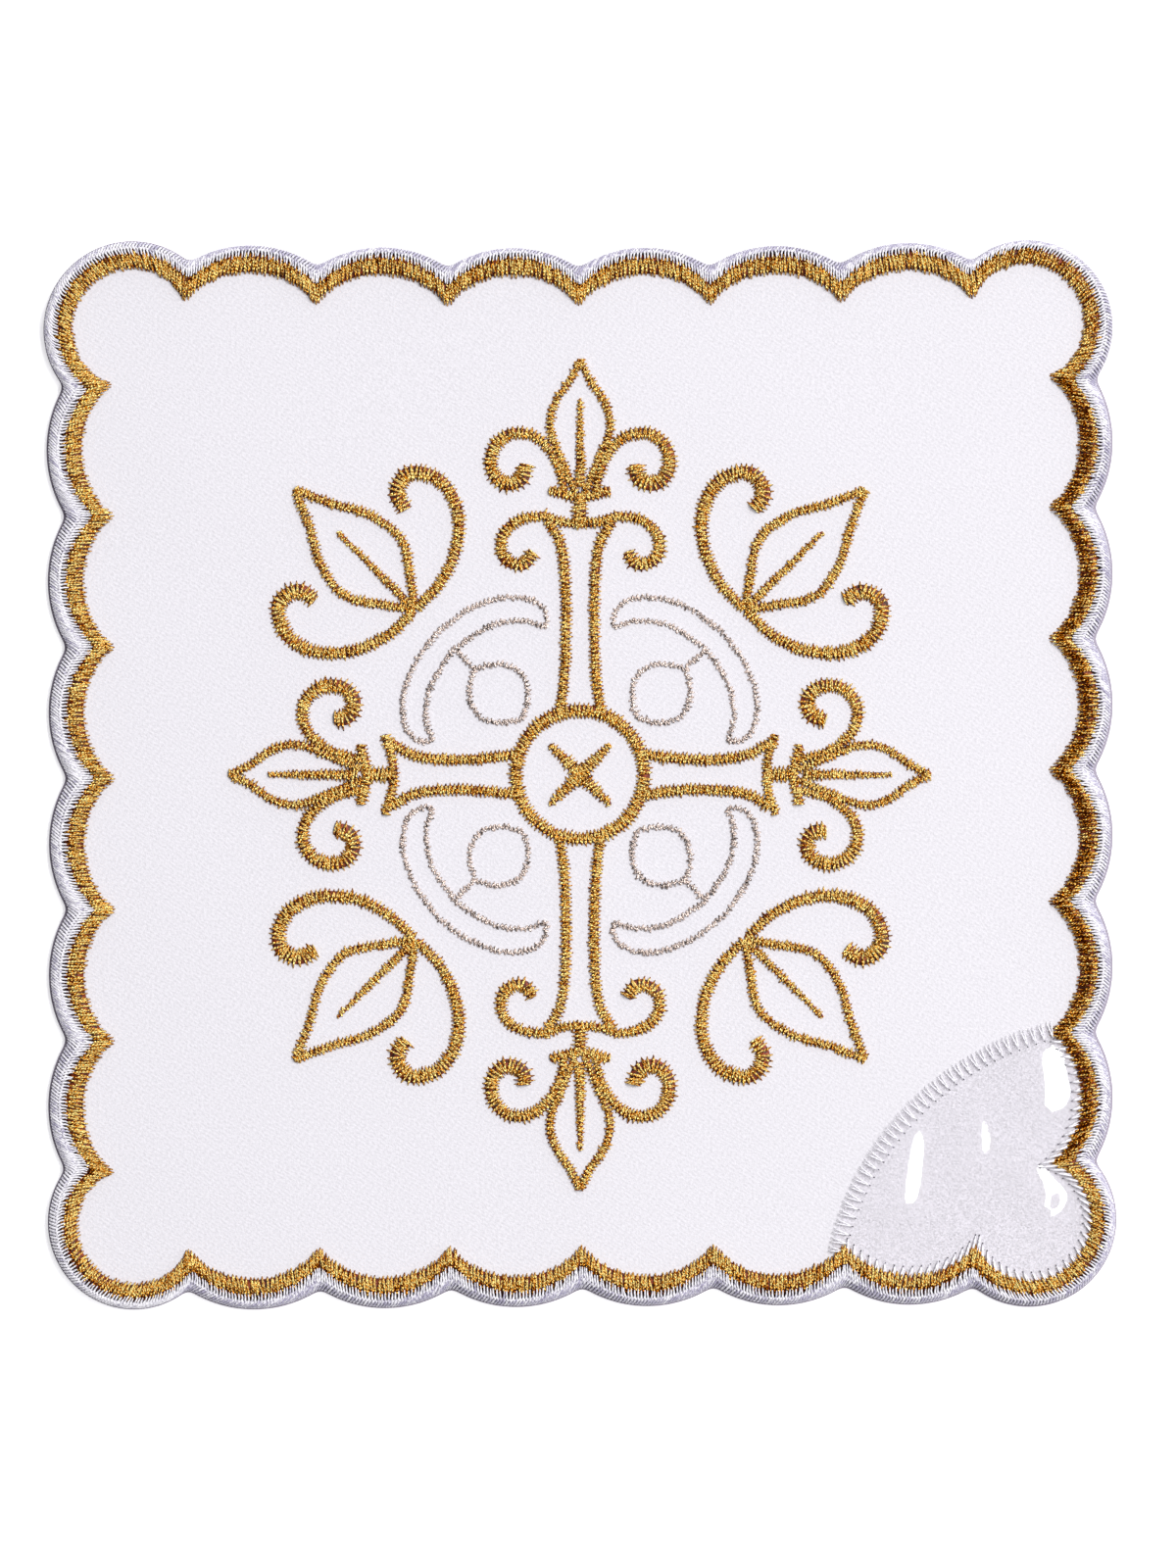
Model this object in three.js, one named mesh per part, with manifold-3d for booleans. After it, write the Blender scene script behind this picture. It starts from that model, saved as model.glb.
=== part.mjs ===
// A chalice pall: a stiff white square with scalloped sides and four round corner lobes.
// Two cloths lie on each other. A white overcast bead closes their edge all round, a gold satin
// border runs inside it, and a gold and silver motif is sewn on the middle of the front cloth.
// A clear film is sewn over one corner, where the hand takes hold.
// Millimetres, +Z up. The origin is under the middle of the pall, which lies on the XY plane.
import * as THREE from "three";
import { mergeVertices } from "three/addons/utils/BufferGeometryUtils.js";
import Module from "manifold-3d";

const wasm = await Module();
wasm.setup();

// Heights
const GAP = 0.3;
const CLOTH_THICKNESS = 1.0;
const FILM_THICKNESS = 1.0;
const BORDER_HEIGHT = 1.0;
const BORDER_SHOULDER = 0.55;
const EDGE_SHOULDER = 0.8;
const EDGE_INNER_SHOULDER = 1.6;
const EDGE_HEIGHT = 2.0;
const LINE_HEIGHT = 0.7;
const FRONT_BOTTOM = CLOTH_THICKNESS + GAP;
const FRONT_TOP = FRONT_BOTTOM + CLOTH_THICKNESS;
const TRIM_BOTTOM = FRONT_TOP + GAP;

// Widths of the trims that follow the outline
const GOLD_WIDTH = 3.0;
const CORNER_GOLD_WIDTH = 2.6;

// The inner edge of the gold border: arcs between notches, all bulging outwards
const NOTCHES_PER_SIDE = 7;
const NOTCH_PITCH = 18.35;
const SCALLOP_RADIUS = 12.6;
const STEPS_PER_SCALLOP = 5;
const STEPS_PER_CORNER = 13;

// Each side as if it were the lower one, then turned round the middle. reach: notches from the middle;
// shift: along the side; bow: how far the middle notch draws in; lean: growth from first notch to last;
// rim: from the gold's inner edge to the outermost edge; peek: back cloth beyond the white bead.
const SIDES = [
  { turn: 0, reach: 66.2, shift: 0.35, bow: 0.1, lean: -0.4, rim: 4.45, peek: 0.35 },
  { turn: 90, reach: 65.85, shift: 0.65, bow: 0.0, lean: 0.0, rim: 4.85, peek: 0.45 },
  { turn: 180, reach: 66.5, shift: 0.1, bow: 0.75, lean: -0.2, rim: 4.0, peek: 0.1 },
  { turn: 270, reach: 65.5, shift: 0.55, bow: 0.3, lean: -0.15, rim: 5.15, peek: 0.55 },
];

// The round lobe at the end of each side: its inner radius, and its rim where it starts and ends
const CORNERS = [
  { radius: 8.35, startRim: 4.0, endRim: 3.85, peek: 0.3 },
  { radius: 8.2, startRim: 4.4, endRim: 3.25, peek: 0.2 },
  { radius: 8.4, startRim: 3.9, endRim: 4.2, peek: 0.25 },
  { radius: 8.15, startRim: 4.5, endRim: 3.5, peek: 0.3 },
];

// The clear film: the part of a disc that lies inside the gold border
const FILM_CENTRE = { x: 76.1, y: -75.7 };
const FILM_RADIUS = 42.0;
const FILM_STEPS = 72;

// Motif
const GOLD_LINE = 1.9;
const SILVER_LINE = 0.95;
const LINE_TOP_SHARE = 0.6;
const END_REACH = 0.7;
const END_WIDTH = 0.55;
const RING_RADIUS = 9.0;
const LONG_ARM = 58;
const SHORT_ARM = 49;
const TURN_PER_STEP = 30;
const LONGEST_STEP = 9;

// Plane geometry

function turned([x, y], degrees) {
  const angle = THREE.MathUtils.degToRad(degrees);
  const cosine = Math.cos(angle);
  const sine = Math.sin(angle);
  return [cosine * x - sine * y, sine * x + cosine * y];
}

// Centre of the circle through two points, to the left (side 1) or right (side -1) of their chord
function arcCentre(start, end, radius, side) {
  const along = [end[0] - start[0], end[1] - start[1]];
  const chord = Math.hypot(...along);
  const rise = (side * Math.sqrt(radius ** 2 - (chord / 2) ** 2)) / chord;
  return [(start[0] + end[0]) / 2 - along[1] * rise, (start[1] + end[1]) / 2 + along[0] * rise];
}

// The outer one of the two points where two neighbouring arcs cross
function crossing(first, firstRadius, second, secondRadius) {
  const along = [second[0] - first[0], second[1] - first[1]];
  const distance = Math.hypot(...along);
  const reach = (firstRadius ** 2 - secondRadius ** 2 + distance ** 2) / (2 * distance);
  const out = Math.sqrt(firstRadius ** 2 - reach ** 2);
  const [ux, uy] = [along[0] / distance, along[1] / distance];
  return [first[0] + ux * reach + uy * out, first[1] + uy * reach - ux * out];
}

function notchesOf(side) {
  const middle = (NOTCHES_PER_SIDE - 1) / 2;
  return Array.from({ length: NOTCHES_PER_SIDE }, (_, index) => {
    const place = (index - middle) / middle;
    const reach = side.reach - side.bow * (1 - place ** 2) + side.lean * place;
    return turned([(index - middle) * NOTCH_PITCH + side.shift, -reach], side.turn);
  });
}

// The arcs of the outline, counter-clockwise from the lower left
function outlineArcs() {
  const notches = SIDES.map(notchesOf);
  return SIDES.flatMap((side, index) => {
    const row = notches[index];
    const next = notches[(index + 1) % SIDES.length];
    const corner = CORNERS[index];
    const shape = { rim: [side.rim, side.rim], peek: side.peek, gold: GOLD_WIDTH, steps: STEPS_PER_SCALLOP };
    const scallops = row.slice(1).map((end, k) => ({
      ...shape,
      centre: arcCentre(row[k], end, SCALLOP_RADIUS, 1),
      radius: SCALLOP_RADIUS,
    }));
    const lobe = {
      centre: arcCentre(row.at(-1), next[0], corner.radius, -1),
      radius: corner.radius,
      rim: [corner.startRim, corner.endRim],
      peek: corner.peek,
      gold: CORNER_GOLD_WIDTH,
      steps: STEPS_PER_CORNER,
    };
    return [...scallops, lobe];
  });
}

const ARCS = outlineArcs();

// How far each named line of the trim lies outside the gold's inner edge, at the start and end of an arc
const LINES = {
  goldInner: () => [0, 0],
  filmEdge: () => [-GAP, -GAP],
  goldCrown: (arc) => [arc.gold * 0.5, arc.gold * 0.5],
  goldOuter: (arc) => [arc.gold - GAP, arc.gold - GAP],
  whiteInner: (arc) => [arc.gold, arc.gold],
  whiteCrown: (arc) => arc.rim.map((rim) => (arc.gold + rim - arc.peek) / 2),
  whiteOuter: (arc) => arc.rim.map((rim) => rim - arc.peek),
  outermost: (arc) => arc.rim,
};

// The closed line at those distances, as points with the same number of steps on every arc
function outline(line) {
  const circles = ARCS.map((arc) => {
    const [start, end] = LINES[line](arc);
    return { centre: arc.centre, first: arc.radius + start, last: arc.radius + end, steps: arc.steps };
  });
  return circles.flatMap((circle, index) => {
    const before = circles.at(index - 1);
    const after = circles[(index + 1) % circles.length];
    const start = crossing(before.centre, before.last, circle.centre, circle.first);
    const end = crossing(circle.centre, circle.last, after.centre, after.first);
    const startAngle = Math.atan2(start[1] - circle.centre[1], start[0] - circle.centre[0]);
    let endAngle = Math.atan2(end[1] - circle.centre[1], end[0] - circle.centre[0]);
    if (endAngle < startAngle) endAngle += 2 * Math.PI;
    return Array.from({ length: circle.steps }, (_, step) => {
      const part = step / circle.steps;
      const angle = THREE.MathUtils.lerp(startAngle, endAngle, part);
      const radius = THREE.MathUtils.lerp(circle.first, circle.last, part);
      return [circle.centre[0] + radius * Math.cos(angle), circle.centre[1] + radius * Math.sin(angle)];
    });
  });
}

// Solids

function solidOf(geometry) {
  const bare = geometry.clone();
  bare.deleteAttribute("normal");
  bare.deleteAttribute("uv");
  const merged = mergeVertices(bare, 1e-4);
  return new wasm.Manifold(
    new wasm.Mesh({
      numProp: 3,
      vertProperties: merged.attributes.position.array,
      triVerts: new Uint32Array(merged.index.array),
    }),
  );
}

function geometryOf(solid) {
  const mesh = solid.getMesh();
  const geometry = new THREE.BufferGeometry();
  geometry.setAttribute("position", new THREE.BufferAttribute(new Float32Array(mesh.vertProperties), 3));
  geometry.setIndex(new THREE.BufferAttribute(new Uint32Array(mesh.triVerts), 1));
  geometry.computeVertexNormals();
  return geometry;
}

// A flat plate with a closed outline
function plate(points, bottom, top) {
  const shape = new THREE.Shape(points.map(([x, y]) => new THREE.Vector2(x, y)));
  const geometry = new THREE.ExtrudeGeometry(shape, { depth: top - bottom, bevelEnabled: false });
  return geometry.translate(0, 0, bottom);
}

// A skin over rows of points, each row a closed section. The rows close on each other in a ring,
// or end in flat caps.
function loft(rows, closed) {
  const across = rows[0].length;
  const triangles = [];
  const corner = (row, column) => (row % rows.length) * across + (column % across);
  const lastRow = closed ? rows.length : rows.length - 1;
  for (let row = 0; row < lastRow; row += 1) {
    for (let column = 0; column < across; column += 1) {
      const [a, b] = [corner(row, column), corner(row, column + 1)];
      const [c, d] = [corner(row + 1, column + 1), corner(row + 1, column)];
      triangles.push(a, c, b, a, d, c);
    }
  }
  if (!closed) {
    for (let column = 1; column < across - 1; column += 1) {
      triangles.push(corner(0, 0), corner(0, column), corner(0, column + 1));
      const end = rows.length - 1;
      triangles.push(corner(end, 0), corner(end, column + 1), corner(end, column));
    }
  }
  const geometry = new THREE.BufferGeometry();
  geometry.setAttribute("position", new THREE.Float32BufferAttribute(rows.flat(2), 3));
  geometry.setIndex(triangles);
  geometry.computeVertexNormals();
  return geometry;
}

// A bead that follows the outline. Its section is a list of [line, height], counter-clockwise when
// the outside of the pall is to the right.
function bead(section) {
  const lines = section.map(([line, height]) => outline(line).map(([x, y]) => [x, y, height]));
  return loft(lines[0].map((_, station) => lines.map((line) => line[station])), true);
}

// Motif lines

// A smooth line through points, with a step wherever it has turned enough or grown long
function smooth(points, closed = false) {
  const vectors = points.map(([x, y]) => new THREE.Vector3(x, y, 0));
  const curve = new THREE.CatmullRomCurve3(vectors, closed, "centripetal");
  const fine = curve.getSpacedPoints(points.length * 12);
  const kept = [fine[0]];
  const turnLimit = THREE.MathUtils.degToRad(TURN_PER_STEP);
  let turn = 0;
  for (let index = 1; index < fine.length - 1; index += 1) {
    const before = fine[index].clone().sub(fine[index - 1]);
    const after = fine[index + 1].clone().sub(fine[index]);
    turn += before.angleTo(after);
    if (turn > turnLimit || fine[index].distanceTo(kept.at(-1)) > LONGEST_STEP) {
      kept.push(fine[index]);
      turn = 0;
    }
  }
  if (!closed) kept.push(fine.at(-1));
  return kept.map(({ x, y }) => [x, y]);
}

// A raised line of stitches: flat below, with slanting sides and a flat top, and blunt ends
function raisedLine({ points, width, endWidth = width, closed = false }) {
  const path = smooth(points, closed);
  const last = path.length - 1;
  const rows = path.map((point, index) => {
    const before = path[closed ? (index + path.length - 1) % path.length : Math.max(index - 1, 0)];
    const after = path[closed ? (index + 1) % path.length : Math.min(index + 1, last)];
    const length = Math.hypot(after[0] - before[0], after[1] - before[1]);
    const direction = [(after[0] - before[0]) / length, (after[1] - before[1]) / length];
    return { point, direction, half: THREE.MathUtils.lerp(width, endWidth, index / last) / 2 };
  });
  if (!closed) {
    rows.unshift(bluntEnd(rows[0], -1));
    rows.push(bluntEnd(rows.at(-1), 1));
  }
  return loft(rows.map(lineSection), closed);
}

function bluntEnd({ point, direction, half }, way) {
  const reach = way * half * END_REACH;
  return {
    point: [point[0] + direction[0] * reach, point[1] + direction[1] * reach],
    direction,
    half: half * END_WIDTH,
  };
}

function lineSection({ point, direction, half }) {
  const place = (across, height) => [
    point[0] + direction[1] * across,
    point[1] - direction[0] * across,
    height,
  ];
  const top = TRIM_BOTTOM + LINE_HEIGHT;
  return [
    place(-half, TRIM_BOTTOM),
    place(half, TRIM_BOTTOM),
    place(half * LINE_TOP_SHARE, top),
    place(-half * LINE_TOP_SHARE, top),
  ];
}

const mirrored = (points) => points.map(([x, y]) => [-x, y]);

// Lines turned round the middle of the motif, each with its mirror image where it has one
function placed(lines, degrees) {
  return lines.flatMap((line) => {
    const copies = line.pair ? [line.points, mirrored(line.points)] : [line.points];
    return copies.map((points) => ({ ...line, points: points.map((point) => turned(point, degrees)) }));
  });
}

// One arm of the cross, pointing along +Y to its tip: stem, two bands with a knop between them,
// side petals, middle petal and its vein
function armLines(tip, curled) {
  const down = (x, below) => [x, tip - below];
  const sidePetal = [
    down(2.0, 18.8), down(3.6, 13.6), down(6.6, 10.6), down(10.0, 10.4), down(12.2, 12.6),
    down(12.3, 15.6), down(10.4, 17.4), down(8.1, 16.6), down(7.7, 14.6),
  ];
  const middlePetal = [
    down(0.7, 18.6), down(2.4, 14.4), down(4.2, 9.6), down(3.6, 6.2), down(1.2, 2.6), down(0, 0),
  ];
  const lines = [
    { pair: true, width: GOLD_LINE, points: [[2.9, RING_RADIUS - 0.4], [2.2, 14], down(2.1, 30.5),
      down(2.8, 25.5), down(4.6, 22.4)] },
    { width: 1.6, points: [down(-5.6, 21.6), down(-2.8, 22.6), down(0, 22.9), down(2.8, 22.6),
      down(5.6, 21.6)] },
    { width: 2.4, points: [down(0, 22.9), down(0, 18.8)] },
    { width: GOLD_LINE, points: [down(-4.2, 18.2), down(0, 19.2), down(4.2, 18.2)] },
    { pair: true, width: 1.4, endWidth: 2.8, points: sidePetal },
    { pair: true, width: 1.4, points: middlePetal },
    { width: 0.8, endWidth: 2.0, points: [down(0, 5.4), down(0, 17.8)] },
  ];
  const curl = [
    down(5.2, 21.8), down(8.6, 22.4), down(10.9, 24.6), down(10.6, 27.8), down(7.9, 28.6), down(6.6, 26.8),
  ];
  return curled ? [...lines, { pair: true, width: 1.5, endWidth: 2.4, points: curl }] : lines;
}

const ringLine = {
  width: 2.2,
  closed: true,
  points: Array.from({ length: 12 }, (_, index) => turned([RING_RADIUS, 0], index * 30)),
};

const starLine = { width: 2.8, endWidth: 1.0, points: [[0, -0.4], [0, 3], [0, 6]] };

// A double crescent with a bud, between two arms, along +Y
const silverLines = [
  { pair: true, points: [[11.2, 17.9], [12.5, 19.2], [12.7, 21.4], [10.4, 24.7], [6.0, 27.1], [0, 28.2]] },
  { pair: true, points: [[11.2, 17.9], [9.8, 20.6], [6.0, 23.5], [0, 24.9]] },
  { pair: true, points: [[0, 11.2], [2.6, 12.9], [4.2, 15.6], [3.1, 18.8], [0, 20.9]] },
  { points: [[0, 20.9], [0, 24.9]] },
].map((line) => ({ ...line, width: SILVER_LINE }));

// A leaf between two tendrils, beyond the crescent, along +Y
const sprigLines = [
  { pair: true, width: 1.5, points: [[0, 32.6], [2.6, 36.2], [5.6, 41], [4.8, 46.6], [2.2, 51.4], [0, 56.4]] },
  { pair: true, width: 1.6, endWidth: 2.8, points: [[0.2, 32.6], [5.2, 32.8], [10.4, 34.8], [14.2, 38.6],
    [15.2, 43.2], [12.8, 46.8], [9.6, 46.0], [9.0, 43.4]] },
  { width: 1.6, endWidth: 0.8, points: [[0, 33], [0, 39], [0, 48]] },
];

// All lines of one motif piece, joined in one solid
function sewnPiece(lines) {
  return geometryOf(lines.map((line) => solidOf(raisedLine(line))).reduce((whole, line) => whole.add(line)));
}

// Pieces

function filmGeometry() {
  const sheet = plate(outline("filmEdge"), TRIM_BOTTOM, TRIM_BOTTOM + FILM_THICKNESS);
  const disc = new THREE.CylinderGeometry(FILM_RADIUS, FILM_RADIUS, 4 * FILM_THICKNESS, FILM_STEPS);
  disc.rotateX(Math.PI / 2);
  disc.translate(FILM_CENTRE.x, FILM_CENTRE.y, TRIM_BOTTOM);
  return geometryOf(solidOf(sheet).intersect(solidOf(disc)));
}

const goldSection = [
  ["goldInner", TRIM_BOTTOM],
  ["goldOuter", TRIM_BOTTOM],
  ["goldOuter", TRIM_BOTTOM + BORDER_SHOULDER],
  ["goldCrown", TRIM_BOTTOM + BORDER_HEIGHT],
  ["goldInner", TRIM_BOTTOM + BORDER_SHOULDER],
];

const whiteSection = [
  ["whiteInner", FRONT_BOTTOM],
  ["whiteOuter", FRONT_BOTTOM],
  ["whiteOuter", FRONT_BOTTOM + EDGE_SHOULDER],
  ["whiteCrown", FRONT_BOTTOM + EDGE_HEIGHT],
  ["whiteInner", FRONT_BOTTOM + EDGE_INNER_SHOULDER],
];

const MATERIALS = {
  cloth: { color: 0xf2eff6, roughness: 0.85, metalness: 0 },
  whiteThread: { color: 0xf4f2f6, roughness: 0.5, metalness: 0 },
  goldThread: { color: 0xc3924e, roughness: 0.35, metalness: 0.8 },
  silverThread: { color: 0x9a9288, roughness: 0.35, metalness: 0.8 },
  film: { color: 0xe7e3e9, roughness: 0.08, metalness: 0, transparent: true, opacity: 0.35 },
};

function piece(name, geometry, finish) {
  const mesh = new THREE.Mesh(geometry, new THREE.MeshStandardMaterial(MATERIALS[finish]));
  mesh.name = name;
  return mesh;
}

const cross = [
  ringLine,
  ...placed(armLines(LONG_ARM, true), 0),
  ...placed(armLines(SHORT_ARM, false), 90),
  ...placed(armLines(LONG_ARM, true), 180),
  ...placed(armLines(SHORT_ARM, false), 270),
];
const QUARTERS = [
  { name: "upper_right", turn: -45 },
  { name: "upper_left", turn: 45 },
  { name: "lower_left", turn: 135 },
  { name: "lower_right", turn: 225 },
];

const motif = new THREE.Group();
motif.add(piece("cross", sewnPiece(cross), "goldThread"));
motif.add(piece("star", sewnPiece(QUARTERS.flatMap(({ turn }) => placed([starLine], turn))), "goldThread"));
for (const { name, turn } of QUARTERS) {
  motif.add(piece(`crescent_${name}`, sewnPiece(placed(silverLines, turn)), "silverThread"));
  motif.add(piece(`sprig_${name}`, sewnPiece(placed(sprigLines, turn)), "goldThread"));
}

const pall = new THREE.Group();
pall.add(piece("back_cloth", plate(outline("outermost"), 0, CLOTH_THICKNESS), "cloth"));
pall.add(piece("front_cloth", plate(outline("goldOuter"), FRONT_BOTTOM, FRONT_TOP), "cloth"));
pall.add(piece("white_edge", bead(whiteSection), "whiteThread"));
pall.add(piece("gold_border", bead(goldSection), "goldThread"));
pall.add(piece("clear_corner", filmGeometry(), "film"));
pall.add(motif);

const reach = new THREE.Box2().setFromPoints(outline("outermost").map(([x, y]) => new THREE.Vector2(x, y)));
const middle = reach.getCenter(new THREE.Vector2());
pall.position.set(-middle.x, -middle.y, 0);

export default pall;
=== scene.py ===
"""A chalice pall: two scalloped cloths, closed by a white satin edge, with a gold satin border, a sewn
gold and silver motif, and a clear film zigzagged over one corner."""
import math

import bpy
import numpy as np
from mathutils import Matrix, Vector, noise


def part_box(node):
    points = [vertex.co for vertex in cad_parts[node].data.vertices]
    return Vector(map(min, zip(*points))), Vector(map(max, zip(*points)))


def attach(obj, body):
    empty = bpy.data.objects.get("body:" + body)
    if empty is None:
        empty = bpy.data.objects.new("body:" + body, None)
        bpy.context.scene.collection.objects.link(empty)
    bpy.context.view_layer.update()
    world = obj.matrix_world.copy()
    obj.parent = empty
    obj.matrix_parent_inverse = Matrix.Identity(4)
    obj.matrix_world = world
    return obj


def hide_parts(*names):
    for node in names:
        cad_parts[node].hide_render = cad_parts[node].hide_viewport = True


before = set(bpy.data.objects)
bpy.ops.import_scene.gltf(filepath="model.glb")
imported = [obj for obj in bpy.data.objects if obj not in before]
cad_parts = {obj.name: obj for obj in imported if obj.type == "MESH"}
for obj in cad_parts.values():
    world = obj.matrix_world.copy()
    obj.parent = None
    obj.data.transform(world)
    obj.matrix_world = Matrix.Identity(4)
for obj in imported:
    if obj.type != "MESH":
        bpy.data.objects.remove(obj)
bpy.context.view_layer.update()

bl_info = {
    "name": "Chalice pall",
    "version": (1, 0, 0),
    "blender": (4, 5, 0),
    "location": "3D View > Sidebar > Pall",
    "description": "Sews a scalloped chalice pall with satin borders, a motif and a clear corner",
    "category": "Add Mesh",
}

MM = 0.001
BODY = "root"
QUARTERS = {"upper_right": -45, "upper_left": 45, "lower_left": 135, "lower_right": 225}

# The inner edge of the gold border, in millimetres: arcs between notches, all bulging outwards
NOTCHES_PER_SIDE = 7
NOTCH_PITCH = 18.35
SCALLOP_RADIUS = 12.6
GOLD_WIDTH = 3.0
CORNER_GOLD_WIDTH = 2.6

# Each side as if it were the lower one, then turned round the middle. reach: notches from the middle;
# shift: along the side; bow: how far the middle notch draws in; lean: growth from first notch to last;
# rim: from the gold's inner edge to the outermost edge; peek: back cloth beyond the white bead;
# comb: how far the white stitches reach in over the gold. shade: the part of the gold's width that takes
# painted shade, and how much; under: how much painted shade the gold takes below the white; lilac: how
# much the white darkens outside, partly its own lilac tint and partly painted shade.
SIDE_KEYS = ("turn", "reach", "shift", "bow", "lean", "rim", "peek", "comb", "shade", "under", "lilac_and_shade")
SIDES = [dict(zip(SIDE_KEYS, row)) for row in (
    (0, 66.2, 0.35, 0.1, -0.4, 4.45, 0.3, 0.85, (0.5, 1.1, 0.7), 1.3, 2.2),
    (90, 65.85, 0.65, 0.0, 0.0, 4.85, 0.45, 0.5, (0.1, 0.72, 1.6), 0.0, 1.3),
    (180, 66.5, 0.1, 0.75, -0.2, 4.0, 0.15, 0.7, (0.52, 1.1, 0.6), 0.8, 2.0),
    (270, 65.5, 0.55, 0.3, -0.15, 5.15, 0.4, 0.6, (0.62, 1.1, 0.5), 0.7, 0.8),
)]

# The round lobe at the end of each side: its inner radius, and its rim where it starts and ends
CORNER_KEYS = ("radius", "start_rim", "end_rim", "peek", "comb", "shade", "under", "lilac_and_shade")
CORNERS = [dict(zip(CORNER_KEYS, row)) for row in (
    (8.35, 4.0, 3.85, 0.35, 0.65, (0.5, 1.0, 0.6), 0.9, 2.6),
    (8.2, 4.4, 3.25, 0.2, 0.6, (0.3, 0.9, 0.6), 0.6, 1.6),
    (8.4, 3.9, 4.2, 0.25, 0.6, (0.55, 1.1, 0.5), 0.8, 1.0),
    (8.15, 4.5, 3.5, 0.3, 0.7, (0.5, 1.1, 0.6), 1.0, 0.6),
)]

# How far outwards, in millimetres, the gold stitches lie from their inner line and from their outer one
GOLD_START = -0.2
GOLD_END = 0.12

# How wide the white stitches are at each ring, against the thread, and how much painted shade they take,
# from gold to edge
FINGER_TAPER = (0.45, 0.8, 0.95, 0.95, 0.7)
FINGER_SHADE = (0, 0, 0.2, 0.5, 0.9)
EDGE_TAPER = (0.6, 0.95, 1.0, 1.0, 1.0, 1.0, 0.9)
EDGE_SHADE = (0.3, 0.3, 0.5, 0.9, 1.3, 1.5, 1.5)
DARKEST = 1.6

# How much a zigzag thread's tone shifts at each ring, from its outer end to its needle hole: lighter along
# its legs, and darker with painted shade where it dives into the hole
ZIGZAG_SHADE = (0.0, -0.6, -0.6, -0.4, -0.1, 0.6)

# Where a zigzag's teeth start, as a share of their pitch: on the arc and at the gold. SEAM_OUTSIDE is how
# far the seam starts outside the arc, in millimetres.
TOOTH_LEAD = 0.27
TOOTH_SHARE = 0.33
SEAM_OUTSIDE = 0.5

# The film's swellings: place, half width and half length, height, all in millimetres, and turn in degrees
SWELLINGS = (
    ((44.5, -54.4), (3.3, 8.0), 0.47, -9),
    ((54.3, -50.4), (3.3, 6.0), 0.375, 4),
    ((63.2, -41.8), (4.2, 5.8), 0.56, 10),
    ((62.9, -57.2), (3.3, 4.9), 0.455, 34),
)
FILM_MIDDLE = (55.0, -54.0)

# How high a thread is against its width, and how unevenly the stitches lie, in millimetres: sideways, in
# height, in the gold border's rise and in their bends. A gold or silver thread's half width strays by a
# share of its whole width.
FLATNESS = 0.8
SIDE_STRAY = 0.06
LIFT_STRAY = 0.045
RISE_STRAY = 0.06
SWAY = 0.05
WIDTH_STRAY = 0.04

# How far the stitches start below the top of the cloth, and how far the film lies above it
THREAD_SINK = 0.05 * MM
FILM_LIFT = 0.12 * MM

# Which of its many shapes the ripple of the front cloth takes
RIPPLE_SEED = 3.7

# The fineness of each grain, and the ribs of the twill: their turn in degrees and width in millimetres
CLOTH_GRAIN, FILM_GRAIN, FLOOR_GRAIN = 2600, 3300, 40
GRAIN_SHARE = 14.0
RIBS = ((122, 0.5), (35, 0.85))

# The size and place of each light, in metres, the way in which the surroundings brighten, and how much and
# how sharply they dim straight above
KEY_SIZE, KEY_PLACE = (1.3, 1.3), (1.4, 1.3, 2.8)
STRIP_SIZE, STRIP_PLACE = (0.5, 0.05), (0.30, -0.05, 0.85)
BRIGHT_WAY = (0.7, 0.7, 0.0)
OVERHEAD_DIMMING = 0.75
OVERHEAD_POWER = 5.0

# Motif widths and reaches, in millimetres
GOLD_LINE = 1.75
SILVER_LINE = 0.8
RING_RADIUS = 9.0
LONG_ARM = 58
SHORT_ARM = 49


def length_field(name, description, default):
    return bpy.props.FloatProperty(name=name, description=description, default=default, unit="LENGTH")


def number_field(name, description, default):
    return bpy.props.FloatProperty(name=name, description=description, default=default)


def colour_field(name, description, default):
    return bpy.props.FloatVectorProperty(
        name=name, description=description, size=3, subtype="COLOR", default=default
    )


class ClothSizes(bpy.types.PropertyGroup):
    """Sizes of the two cloths"""

    across: bpy.props.IntProperty(
        name="Steps", description="Steps on each arc of the front cloth's outline", default=12
    )
    rings: bpy.props.IntProperty(
        name="Rings", description="Rings of faces from the front cloth's edge to its middle", default=44
    )
    thickness: length_field("Thickness", "Thickness of each cloth", 1.0 * MM)
    ripple: length_field("Ripple", "Height of the cloth's slight waves", 0.12 * MM)
    ripple_size: length_field("Ripple size", "Width of the cloth's slight waves", 22 * MM)


class ThreadSizes(bpy.types.PropertyGroup):
    """Sizes of the threads and their stitches"""

    pitch: length_field("Pitch", "From one stitch of the white edge to the next", 0.45 * MM)
    line_pitch: length_field("Gold pitch", "From one gold stitch to the next", 0.29 * MM)
    thickness: length_field("Thread", "Width of a white thread", 0.33 * MM)
    line_thickness: length_field("Gold thread", "Width of a gold or silver thread", 0.31 * MM)
    crown: length_field("Crown", "Rise of the gold border above the cloth", 0.95 * MM)
    edge_crown: length_field("Edge crown", "Rise of the white edge above the cloth", 0.68 * MM)
    line_crown: length_field("Motif crown", "Rise of a gold motif line above the cloth", 0.62 * MM)
    tip: length_field("Tip", "How far the gold reaches in at each notch", 0.42 * MM)
    slant: number_field("Slant", "How far the white stitches lean back, against their reach", 0.85)
    stray: length_field("Stray", "How far a stitch's end strays from its line", 0.11 * MM)


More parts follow.
